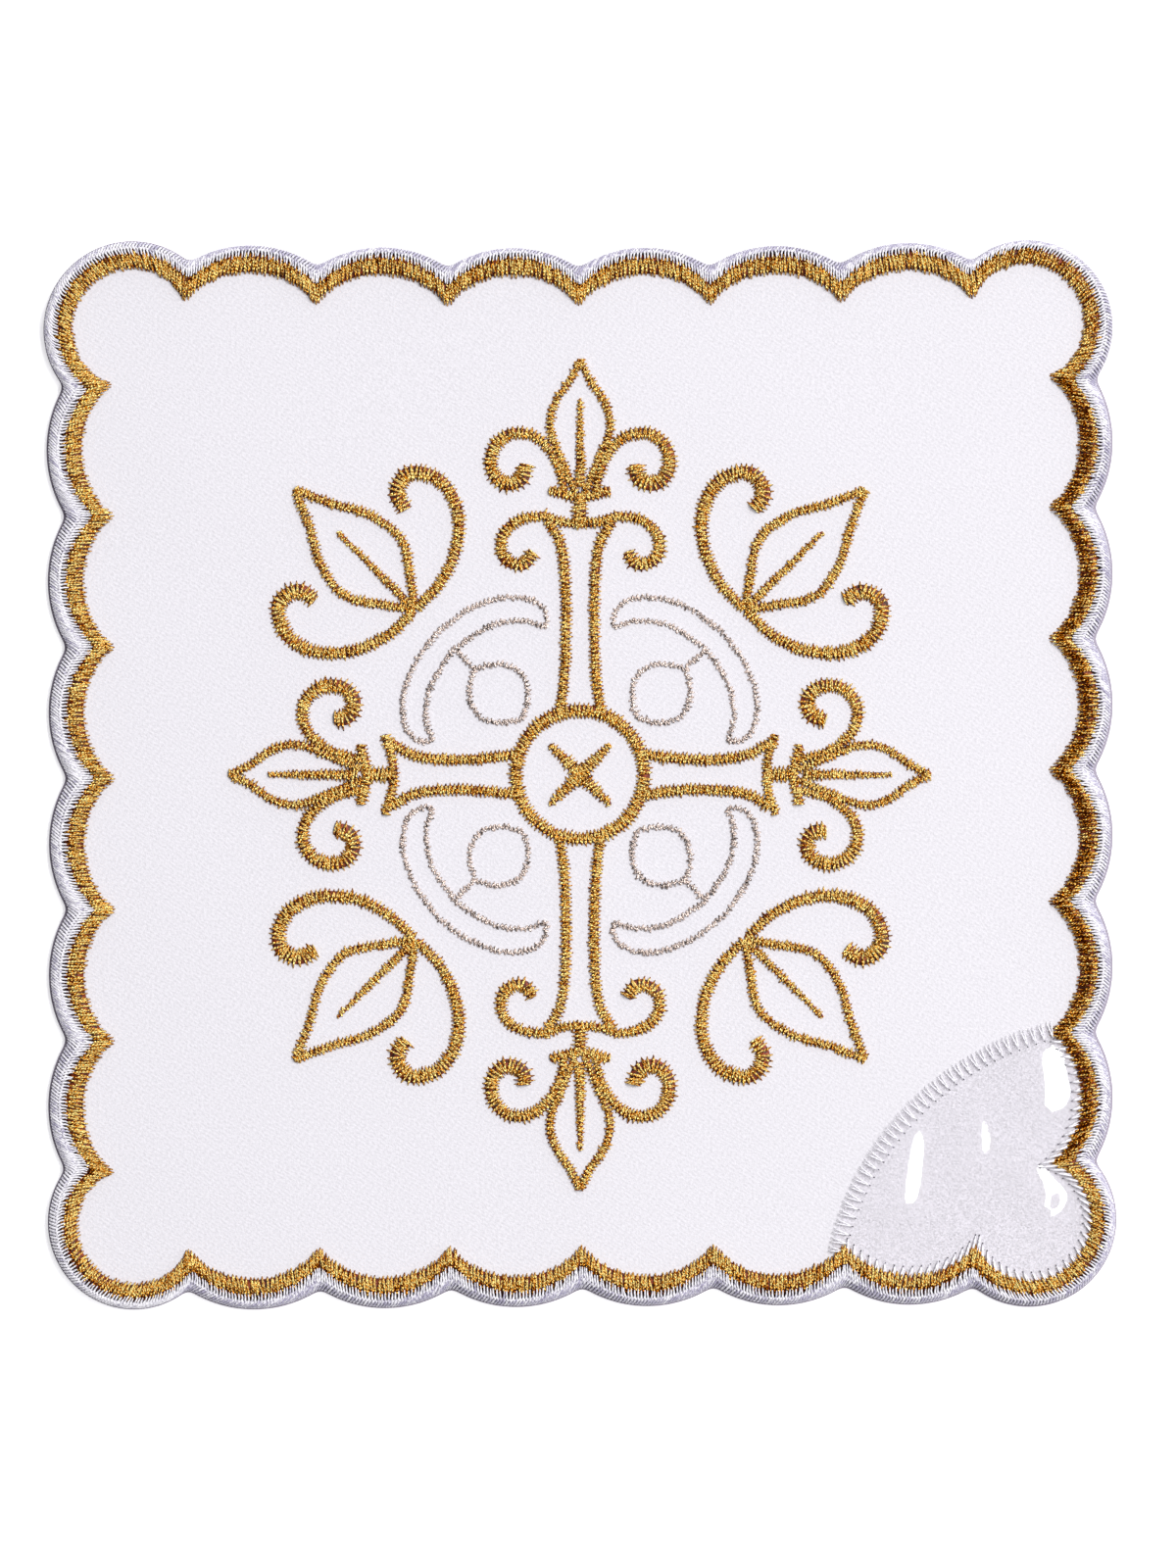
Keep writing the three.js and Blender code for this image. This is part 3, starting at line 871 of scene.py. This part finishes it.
def gold_finish():
    colours = bpy.context.scene.pall_colours
    gold, dark = tuple(colours.gold), tuple(colours.gold_dark)
    bright = tuple(min(1.0, channel * share) for channel, share in zip(gold, (1.0, 1.5, 5.0)))
    # The gold's tones, from its painted shade to its painted glint.
    tones = [shaded(dark, 0.1), dark, gold, bright, tuple(colours.gold_light)]
    return once("gold_wrap", thread_finish, tones, 0.45, 0.25, 0.55, 0.07 * MM, 1.35)


def gold_padding():
    dark = tuple(bpy.context.scene.pall_colours.gold_dark)
    # Darkened padding: painted shade between the gold stitches.
    return once("gold_padding", shaded_padding_finish, shaded(dark, 0.7), 0.3)


def silver_finish():
    silver = tuple(bpy.context.scene.pall_colours.silver)
    tones = [shaded(silver, 0.06), shaded(silver, 0.45), silver, shaded(silver, 1.2)]
    return once("silver_wrap", thread_finish, tones, 0.6, 0.36, 0.5, 0.05 * MM)


def white_finish():
    colours = bpy.context.scene.pall_colours
    white = tuple(colours.white)
    tones = [tuple(colours.white_shade), shaded(white, 0.9), white, shaded(white, 1.05)]
    made = once("white_floss", thread_finish, tones, 0.0, 0.42, 0.7, 0.03 * MM, 0.6)
    NodeTree(made.node_tree).shade({"Sheen Weight": 0.4})
    return made


# Sewing


def cloth_top():
    """The height of the front cloth over the floor, in metres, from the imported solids."""
    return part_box("front_cloth")[1][2]


def rows_of_points(lines, heights):
    """Where each stitch crosses each line (millimetres), at that line's height, in metres."""
    return np.stack([np.c_[line * MM, np.full(len(line), z)] for line, z in zip(lines, heights)], axis=1)


def random_for(name):
    return np.random.default_rng(sum(ord(letter) for letter in name))


def line_stitches(line, random, pitch, spread):
    """Start and end points of the stitches along one motif line, and three lines of its padding."""
    width = line.get("width", GOLD_LINE)
    end_width = line.get("end_width", width)
    closed = line.get("closed", False)
    path = smooth(line["points"], pitch, closed)
    if closed:
        path = path[:-1]
        along = unit(np.roll(path, -1, axis=0) - np.roll(path, 1, axis=0))
    else:
        along = unit(np.gradient(path, axis=0))
    across = np.stack([along[:, 1], -along[:, 0]], axis=1)
    half = np.linspace(width, end_width, len(path))[:, None] / 2
    if not closed:
        half[[0, -1]] *= 0.6
    stray = random.normal(0, 1, (2, len(path), 1)) * spread
    side = np.where(np.arange(len(path)) % 2 == 0, -1.0, 1.0)[:, None]
    tips = path + across * (half + stray[0]) * side
    following = path + across * (half + stray[1]) * side
    starts, ends = (tips, np.roll(following, -1, axis=0)) if closed else (tips[:-1], following[1:])
    inner = half * 0.7
    return starts, ends, (path - across * inner, path, path + across * inner)


def sewn_piece(name, nodes, lines, pitch, crown, slot, finish, under, form):
    """A motif piece: satin stitches for all its lines, over a padding of that finish where one is given."""
    sizes = bpy.context.scene.pall_threads
    random = random_for(name)
    starts, ends, strips = [], [], []
    low = cloth_top() - THREAD_SINK
    heights = (low + 0.04 * MM, low + crown * 0.72, low + 0.04 * MM)
    for line in lines:
        own_starts, own_ends, rows = line_stitches(line, random, pitch / MM, sizes.stray / MM)
        starts.append(own_starts)
        ends.append(own_ends)
        # The padding strip shows between the stitches, darkened as painted shade.
        if under:
            grid = rows_of_points(rows, heights)
            strips.append(skin(name + "_strip", grid, under, line.get("closed", False)))
    starts, ends = np.concatenate(starts), np.concatenate(ends)
    lift = random.normal(0, LIFT_STRAY, len(starts)) * MM
    width = np.linalg.norm(ends - starts, axis=1) * MM
    rise = np.minimum(crown, 0.45 * width) + lift
    half = sizes.line_thickness * (0.5 + random.normal(0, WIDTH_STRAY, len(starts)))
    paths = arched(starts, ends, low, rise, form, sway=random.normal(0, SWAY, (2, len(starts))))
    # A random tone per stitch, plus painted shade: every other stitch is darker, as where it lies under its
    # neighbours.
    tints = 0.6 * random.random(len(starts)) + 0.4 * (np.arange(len(starts)) % 2)
    threads = lay_threads(name, form, paths, half, tints, finish)
    piece = joined(name, [threads, *strips])
    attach(piece, BODY)
    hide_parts(*nodes)
    return piece


# Operators


class PALL_OT_stage(bpy.types.Operator):
    """Set the floor, the lights and the camera over the pall"""

    bl_idname = "pall.stage"
    bl_label = "Stage"

    def execute(self, context):
        settings = context.scene.pall_stage
        bpy.ops.object.select_all(action="DESELECT")
        bpy.ops.mesh.primitive_plane_add(size=3, location=(0, 0, -0.02 * MM))
        floor = context.object
        floor.name = "floor"
        bpy.ops.object.transform_apply(location=True)
        floor.data.materials.append(floor_finish(tuple(settings.floor), settings.glow))
        floor.select_set(False)
        self.add_light("key_light", KEY_SIZE, settings.key, KEY_PLACE)
        self.add_light("strip_light", STRIP_SIZE, settings.strip, STRIP_PLACE)
        world = bpy.data.worlds.new("studio")
        world.use_nodes = True
        background = world.node_tree.nodes["Background"]
        background.inputs["Color"].default_value = (0.97, 0.97, 1.0, 1)
        self.lean_light(NodeTree(world.node_tree), background, settings)
        context.scene.world = world
        context.scene.view_settings.view_transform = "Standard"
        camera_data = bpy.data.cameras.new("camera")
        camera_data.sensor_width = 36
        camera_data.lens = 36 * settings.view[2] / settings.frame_height
        camera_data.clip_start = 0.01
        camera = bpy.data.objects.new("camera", camera_data)
        camera.location = settings.view
        context.collection.objects.link(camera)
        context.scene.camera = camera
        return {"FINISHED"}

    def lean_light(self, tree, background, settings):
        """Surroundings that are brighter towards the upper right and dim straight above."""
        where = tree.add("TexCoord", {}).outputs["Generated"]

        def toward(direction):
            node = tree.add("VectorMath", {})
            node.operation = "DOT_PRODUCT"
            tree.feed(node.inputs[0], where)
            tree.feed(node.inputs[1], direction)
            return node.outputs["Value"]

        level = tree.math("MULTIPLY_ADD", toward(BRIGHT_WAY), settings.lean, settings.fill)
        above = tree.math("POWER", tree.math("MAXIMUM", toward((0, 0, 1)), 0.0), OVERHEAD_POWER)
        dimmed = tree.math("MULTIPLY_ADD", above, -OVERHEAD_DIMMING, 1.0)
        tree.feed(background.inputs["Strength"], tree.math("MULTIPLY", level, dimmed))

    def add_light(self, name, size, power, place):
        light = bpy.data.lights.new(name, "AREA")
        light.shape = "RECTANGLE"
        light.size, light.size_y = size
        light.energy = power
        lamp = bpy.data.objects.new(name, light)
        lamp.location = place
        lamp.rotation_euler = (-Vector(place)).to_track_quat("-Z", "Y").to_euler()
        bpy.context.collection.objects.link(lamp)


class PALL_OT_back_cloth(bpy.types.Operator):
    """Cut the plain under cloth to the outermost line"""

    bl_idname = "pall.back_cloth"
    bl_label = "Back cloth"

    def execute(self, context):
        sizes = context.scene.pall_cloth
        steps = arc_steps(outermost, 0.45)
        line = rounded(outline(outermost, steps), steps) * MM
        sheet = webbed_sheet("back_cloth_sheet", line, 6)
        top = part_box("back_cloth")[1][2]
        # Darkened as painted shade for the rim that peeks out.
        finish = cloth_finish("shaded_plain_weave", tuple(context.scene.pall_colours.back), 0.05 * MM)
        laid(sheet, lambda x, y: top, sizes.thickness, finish)
        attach(sheet, BODY)
        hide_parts("back_cloth")
        return {"FINISHED"}


class PALL_OT_front_cloth(bpy.types.Operator):
    """Cut the white front cloth and let it ripple slightly"""

    bl_idname = "pall.front_cloth"
    bl_label = "Front cloth"

    def execute(self, context):
        sizes = context.scene.pall_cloth
        line = outline(gold_share(1.0, -0.3), [sizes.across] * len(ARCS)) * MM
        sheet = webbed_sheet("front_cloth_sheet", line, sizes.rings)
        top = cloth_top()

        def height_at(x, y):
            return top + noise.noise(Vector((x, y, RIPPLE_SEED)) / sizes.ripple_size) * sizes.ripple

        finish = cloth_finish("white_twill", tuple(context.scene.pall_colours.cloth), 0.09 * MM)
        laid(sheet, height_at, sizes.thickness, finish)
        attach(sheet, BODY)
        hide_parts("front_cloth")
        return {"FINISHED"}


class PALL_OT_white_edge(bpy.types.Operator):
    """Overcast the edge of both cloths with white satin stitches"""

    bl_idname = "pall.white_edge"
    bl_label = "White edge"

    def execute(self, context):
        sizes = context.scene.pall_threads
        random = random_for("white_edge")
        steps = arc_steps(edge_share(0.5), sizes.pitch / MM)
        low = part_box("back_cloth")[1][2]
        top = cloth_top()
        crown = top + sizes.edge_crown
        fingers = self.rails(steps, (
            (comb_share(1.0), crown),
            (comb_share(0.4), crown),
            (edge_share(0.12), crown + 0.06 * MM),
            (edge_share(0.36), crown + 0.04 * MM),
            (edge_share(0.6), crown - 0.3 * MM),
        ))
        comb = np.repeat([arc["comb"] / arc["gold"] for arc in ARCS], steps)
        for rail, share in enumerate((1.0, 0.4)):
            over_gold = sizes.crown * np.sin(math.pi * (1 - share * comb)) ** 0.5
            fingers[:, rail, 2] = top + np.maximum(over_gold + 0.16 * MM, 0.6 * MM)
        rails = self.rails(steps, (
            (edge_share(0.08), crown - 0.2 * MM),
            (edge_share(0.25), crown - 0.02 * MM),
            (edge_share(0.45), crown),
            (edge_share(0.68), crown - 0.2 * MM),
            (edge_share(0.86), crown - 0.55 * MM),
            (edge_share(0.97), crown - 1.05 * MM),
            (edge_share(1.0), low + 0.1 * MM),
        ))
        outward = unit(fingers[:, -1, :2] - fingers[:, 0, :2])
        fingers[:, 0, :2] += outward * random.normal(0, 0.9, (len(fingers), 1)) * sizes.stray
        aside = np.stack([outward[:, 1], -outward[:, 0]], axis=1)
        fingers[:, :2, :2] += (aside * random.normal(0, SIDE_STRAY, (len(fingers), 1)) * MM)[:, None]
        rails = self.leaned(rails, sizes.slant)
        rails[:, :-2, 2] += random.normal(0, LIFT_STRAY, (len(rails), 1)) * MM
        half = sizes.thickness * 0.5
        stray = random.normal(0, 0.35, (len(rails), 1))
        # Painted shade on the white stitches: darker towards the outer edge by each arc's lilac share, which
        # is partly the thread's own lilac tint and partly painted shade; stray adds a random tone.
        lilac_and_shade = np.repeat([arc["lilac_and_shade"] for arc in ARCS], steps)[:, None]
        finish = white_finish()
        finger_threads = lay_threads(
            "white_fingers", ThreadForm(5, 4), fingers, half, random.random(len(rails)), finish,
            taper=np.array(FINGER_TAPER), depths=np.array(FINGER_SHADE) * lilac_and_shade + stray
        )
        threads = lay_threads(
            "white_edge_stitches", ThreadForm(5, 6), rails, half, random.random(len(rails)), finish,
            taper=np.array(EDGE_TAPER), depths=np.minimum(np.array(EDGE_SHADE) * lilac_and_shade, DARKEST) + stray
        )
        pad = rails[:, 1:].copy()
        pad[:, 0, 2] -= 0.5 * MM
        pad[:, :, 2] -= 0.12 * MM
        # Padding darkened as painted shade, showing in the gaps between the white stitches.
        under = shaded_padding_finish("white_shade_padding", shaded(tuple(context.scene.pall_colours.white_shade), 0.5))
        piece = joined("white_edge_stitches", [threads, finger_threads, skin("white_strip", pad, under)])
        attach(piece, BODY)
        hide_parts("white_edge")
        return {"FINISHED"}

    def rails(self, steps, rows):
        """Where each stitch crosses several lines, with their notches rounded off, at their heights."""
        lines, heights = zip(*rows)
        return rows_of_points([rounded(outline(line, steps), steps) for line in lines], heights)

    def leaned(self, rails, slant):
        """The rails, each point moved back along its line by the slant times its reach."""
        count = len(rails)
        leaned = rails.copy()
        for rail in range(1, rails.shape[1]):
            line = rails[:, rail]
            reach = np.linalg.norm(line[:, :2] - rails[:, 0, :2], axis=1)
            pitch = np.linalg.norm(line[:, :2] - np.roll(line[:, :2], 1, axis=0), axis=1).mean()
            place = (np.arange(count) - slant * reach / pitch) % count
            whole = place.astype(int)
            part = (place - whole)[:, None]
            leaned[:, rail] = line[whole] * (1 - part) + line[(whole + 1) % count] * part
        return leaned


class PALL_OT_gold_border(bpy.types.Operator):
    """Sew the gold satin border inside the white edge"""

    bl_idname = "pall.gold_border"
    bl_label = "Gold border"

    def execute(self, context):
        sizes = context.scene.pall_threads
        random = random_for("gold_border")
        form = ThreadForm(5, 7)
        steps = [2 * count for count in arc_steps(gold_share(0.5), 2 * sizes.line_pitch / MM)]
        inner = rounded(outline(fixed(0.0), steps), steps, 7)
        outer = rounded(outline(gold_share(1.0), steps), steps)
        across = unit(outer - inner)
        stray = random.normal(0, 1, (2, len(inner), 1)) * sizes.stray / MM
        along = unit(np.roll(inner, -1, axis=0) - inner) * random.normal(0, SIDE_STRAY, (len(inner), 1))
        near = notch_nearness(inner, steps, 1.3)
        inner += across * (stray[0] * (1 - 0.7 * near) + GOLD_START - sizes.tip / MM * near) - along
        outer += across * (stray[1] + GOLD_END) + along
        outwards = (np.arange(len(inner)) % 2 == 0)[:, None]
        starts = np.where(outwards, inner, outer)
        ends = np.where(outwards, np.roll(outer, -1, axis=0), np.roll(inner, -1, axis=0))
        low = cloth_top() - THREAD_SINK
        rise = sizes.crown + random.normal(0, RISE_STRAY, len(inner)) * MM
        sway = random.normal(0, SWAY, (2, len(inner)))
        paths = arched(starts, ends, low, rise, form, sway=sway)
        half = sizes.line_thickness * (0.5 + random.normal(0, WIDTH_STRAY, len(inner)))
        part = np.linspace(0, 1, form.segments + 1)
        part = np.where(outwards, part, 1 - part)
        # Painted shade on the gold: each thread darker at its inner end where it dives into the cloth,
        # beyond where the white covers it by the arc's under, and over the arc's shaded share of its width.
        covered, shade_below_white, first, last, side_shade = np.repeat(
            [(1 - (arc["comb"] + 0.2) / arc["gold"], arc["under"], *arc["shade"]) for arc in ARCS],
            steps, axis=0
        ).T[:, :, None]
        depths = (1 - 2 * part) ** 4 * (part < 0.5) + np.clip((part - covered) / 0.12, 0, 1) * shade_below_white
        depths += np.clip((part - first) / 0.15, 0, 1) * np.clip((last - part) / 0.15, 0, 1) * side_shade
        # A random tone per stitch, plus painted shade: the stitches running inwards are darker than those
        # running outwards.
        tints = 0.5 * random.random(len(inner)) + 0.5 * outwards[:, 0]
        threads = lay_threads("gold_border_stitches", form, paths, half, tints, gold_finish(), depths=depths)
        # The padding strip under the gold shows between the stitches as painted shade.
        lines, heights = zip(
            (fixed(0.18), low + 0.1 * MM),
            (gold_share(0.25), low + sizes.crown * 0.66),
            (gold_share(0.5), low + sizes.crown * 0.78),
            (gold_share(0.75), low + sizes.crown * 0.66),
            (gold_share(0.97), low + 0.2 * MM),
        )
        pad = rows_of_points([outline(line, steps) for line in lines], heights)
        piece = joined("gold_border_stitches", [threads, skin("gold_strip", pad, gold_padding())])
        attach(piece, BODY)
        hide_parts("gold_border")
        return {"FINISHED"}


class PALL_OT_motif(bpy.types.Operator):
    """Sew the gold cross, star and sprigs and the silver crescents"""

    bl_idname = "pall.motif"
    bl_label = "Motif"

    def execute(self, context):
        sizes = context.scene.pall_threads
        form = ThreadForm(5, 4)
        gold_row = (sizes.line_pitch, sizes.line_crown, "gold_thread", gold_finish(), gold_padding(), form)
        silver_row = (
            sizes.line_pitch * 1.05, sizes.line_crown * 0.6, "silver_thread", silver_finish(), None, form
        )
        sewn_piece("cross_stitches", ["cross"], cross_lines(), *gold_row)
        star = [line for degrees in QUARTERS.values() for line in placed([STAR_LINE], degrees)]
        sewn_piece("star_stitches", ["star"], star, *gold_row)
        for name, degrees in QUARTERS.items():
            sewn_piece(f"sprig_{name}_stitches", [f"sprig_{name}"], placed(SPRIG_LINES, degrees), *gold_row)
            crescent = placed(CRESCENT_LINES, degrees)
            sewn_piece(f"crescent_{name}_stitches", [f"crescent_{name}"], crescent, *silver_row)
        return {"FINISHED"}


def film_line(sizes, reach=0.35, steps=240):
    """The film's edge, in millimetres: where rays from its middle meet its arc or a line by the gold."""
    middle = np.array(FILM_MIDDLE)
    to_centre = np.array(sizes.centre) / MM - middle
    border = outline(fixed(reach), [24] * len(ARCS))
    edge = np.roll(border, -1, axis=0) - border
    start = border - middle
    points = []
    for angle in np.linspace(0, 2 * math.pi, steps, endpoint=False):
        ray = np.array([math.cos(angle), math.sin(angle)])
        toward = to_centre @ ray
        to_arc = toward + math.sqrt(max(0.0, (sizes.radius / MM) ** 2 - to_centre @ to_centre + toward**2))
        slope = ray[0] * edge[:, 1] - ray[1] * edge[:, 0]
        slope = np.where(slope == 0, 1e-9, slope)
        run = (start[:, 0] * edge[:, 1] - start[:, 1] * edge[:, 0]) / slope
        share = (start[:, 0] * ray[1] - start[:, 1] * ray[0]) / slope
        to_gold = run[(share >= 0) & (share <= 1) & (run > 0)].min()
        points.append(middle + ray * min(to_arc, to_gold))
    return np.array(points)


class PALL_OT_clear_corner(bpy.types.Operator):
    """Lay the clear film over the corner"""

    bl_idname = "pall.clear_corner"
    bl_label = "Clear corner"

    def execute(self, context):
        sizes = context.scene.pall_film
        line = film_line(sizes)
        sheet = webbed_sheet("clear_corner_film", line * MM, 40, np.array(FILM_MIDDLE) * MM)
        top = cloth_top() + sizes.thickness + FILM_LIFT
        finish = film_finish(tuple(context.scene.pall_colours.film))
        laid(sheet, lambda x, y: top + film_height(x / MM, y / MM) * MM, sizes.thickness, finish)
        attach(sheet, BODY)
        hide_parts("clear_corner")
        return {"FINISHED"}


class PALL_OT_zigzag(bpy.types.Operator):
    """Sew the film down with a zigzag seam and prick its needle holes"""

    bl_idname = "pall.zigzag"
    bl_label = "Zigzag seam"

    def execute(self, context):
        sizes = context.scene.pall_film
        random = random_for("zigzag")
        form = ThreadForm(5, 5)
        outer, inner, nearest = self.seam(sizes)
        stray = 0.05
        starts, ends = [], []
        for hole, *neighbours in zip(inner, outer, nearest):
            hole = hole + random.normal(0, stray, 2)
            for neighbour in neighbours:
                starts.append(neighbour + random.normal(0, stray, 2))
                ends.append(hole)
        low = cloth_top() + sizes.thickness + 0.1 * MM
        paths = over_film(arched(np.array(starts), np.array(ends), low, 0.22 * MM, form, 0.6))
        half = context.scene.pall_threads.thickness * 0.36
        threads = lay_threads(
            "zigzag_stitches", form, paths, half, random.random(len(starts)), white_finish(),
            depths=np.tile(ZIGZAG_SHADE, (len(starts), 1))
        )
        piece = joined("zigzag_stitches", [threads, self.holes(inner, (outer + nearest) / 2, low)])
        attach(piece, BODY)
        return {"FINISHED"}

    def holes(self, tips, bases, low):
        """A small dark mark just inside each tip, painted shade for its needle hole, drawn out along the
        pull of its thread.
        """
        pull = unit(tips - bases)
        form = ThreadForm(5, 3)
        paths = over_film(arched(tips - pull * 0.12, tips + pull * 0.16, low + 0.02 * MM, 0.03 * MM, form))
        dark = shaded_padding_finish("needle_hole_shade", tuple(bpy.context.scene.pall_colours.hole))
        return lay_threads("needle_holes", form, paths, 0.1 * MM, np.zeros(len(tips)), dark, flatness=0.4)

    def seam(self, sizes):
        """The outer point before each needle hole, the hole and the outer point after it."""
        pitch = sizes.zigzag_pitch / MM
        centre = np.array(sizes.centre) / MM
        radius = sizes.radius / MM
        line = film_line(sizes, 0.0, 720)
        on_arc = np.abs(np.linalg.norm(line - centre, axis=1) - radius) < 0.05
        angles = np.unwrap(np.arctan2(*(line[on_arc] - centre).T[::-1]) % (2 * math.pi))
        first, last = angles.min(), angles.max()
        count = round((last - first) * radius / pitch)
        turns = np.linspace(first, last, 2 * count + 1)

        def ring(turn, reach):
            return centre + reach * np.stack([np.cos(turn), np.sin(turn)], axis=1)

        lead = (turns[2] - turns[0]) * TOOTH_LEAD
        outer = ring(turns[:-1:2] + lead, radius + SEAM_OUTSIDE)
        after = ring(turns[2::2] - lead, radius + SEAM_OUTSIDE)
        holes = ring(turns[1::2], radius + SEAM_OUTSIDE - sizes.zigzag_width / MM)
        steps = [2 * step for step in arc_steps(fixed(0.0), pitch * 0.94)]
        border = outline(fixed(0.7), steps)
        tips = outline(fixed(-sizes.zigzag_reach / MM), steps)[1::2]
        inside = np.linalg.norm(tips - centre, axis=1) < radius - 1.6
        before = border[::2][inside]
        following = np.roll(border, -2, axis=0)[::2][inside]
        outer = np.concatenate([outer, before * (1 - TOOTH_SHARE) + following * TOOTH_SHARE])
        after = np.concatenate([after, before * TOOTH_SHARE + following * (1 - TOOTH_SHARE)])
        holes = np.concatenate([holes, tips[inside]])
        return outer, holes, after


class PALL_PT_panel(bpy.types.Panel):
    """The pall's pieces and sizes"""

    bl_idname = "PALL_PT_panel"
    bl_label = "Pall"
    bl_space_type = "VIEW_3D"
    bl_region_type = "UI"
    bl_category = "Pall"

    def draw(self, context):
        for operator in OPERATORS:
            self.layout.operator(operator.bl_idname)
        for name, group in GROUPS.items():
            box = self.layout.box()
            for field in group.__annotations__:
                box.prop(getattr(context.scene, name), field)


GROUPS = {
    "pall_cloth": ClothSizes,
    "pall_threads": ThreadSizes,
    "pall_film": FilmSizes,
    "pall_colours": PallColours,
    "pall_stage": StageSettings,
}
OPERATORS = (
    PALL_OT_stage,
    PALL_OT_back_cloth,
    PALL_OT_front_cloth,
    PALL_OT_white_edge,
    PALL_OT_gold_border,
    PALL_OT_motif,
    PALL_OT_clear_corner,
    PALL_OT_zigzag,
)


def register():
    for group in (*GROUPS.values(), *OPERATORS, PALL_PT_panel):
        bpy.utils.register_class(group)
    for name, group in GROUPS.items():
        setattr(bpy.types.Scene, name, bpy.props.PointerProperty(type=group))


def unregister():
    for name in GROUPS:
        delattr(bpy.types.Scene, name)
    for group in reversed((*GROUPS.values(), *OPERATORS, PALL_PT_panel)):
        bpy.utils.unregister_class(group)


def main():
    register()
    bpy.ops.pall.stage()
    bpy.ops.pall.back_cloth()
    bpy.ops.pall.front_cloth()
    bpy.ops.pall.white_edge()
    bpy.ops.pall.gold_border()
    bpy.ops.pall.motif()
    bpy.ops.pall.clear_corner()
    bpy.ops.pall.zigzag()


if __name__ == "__main__":
    main()
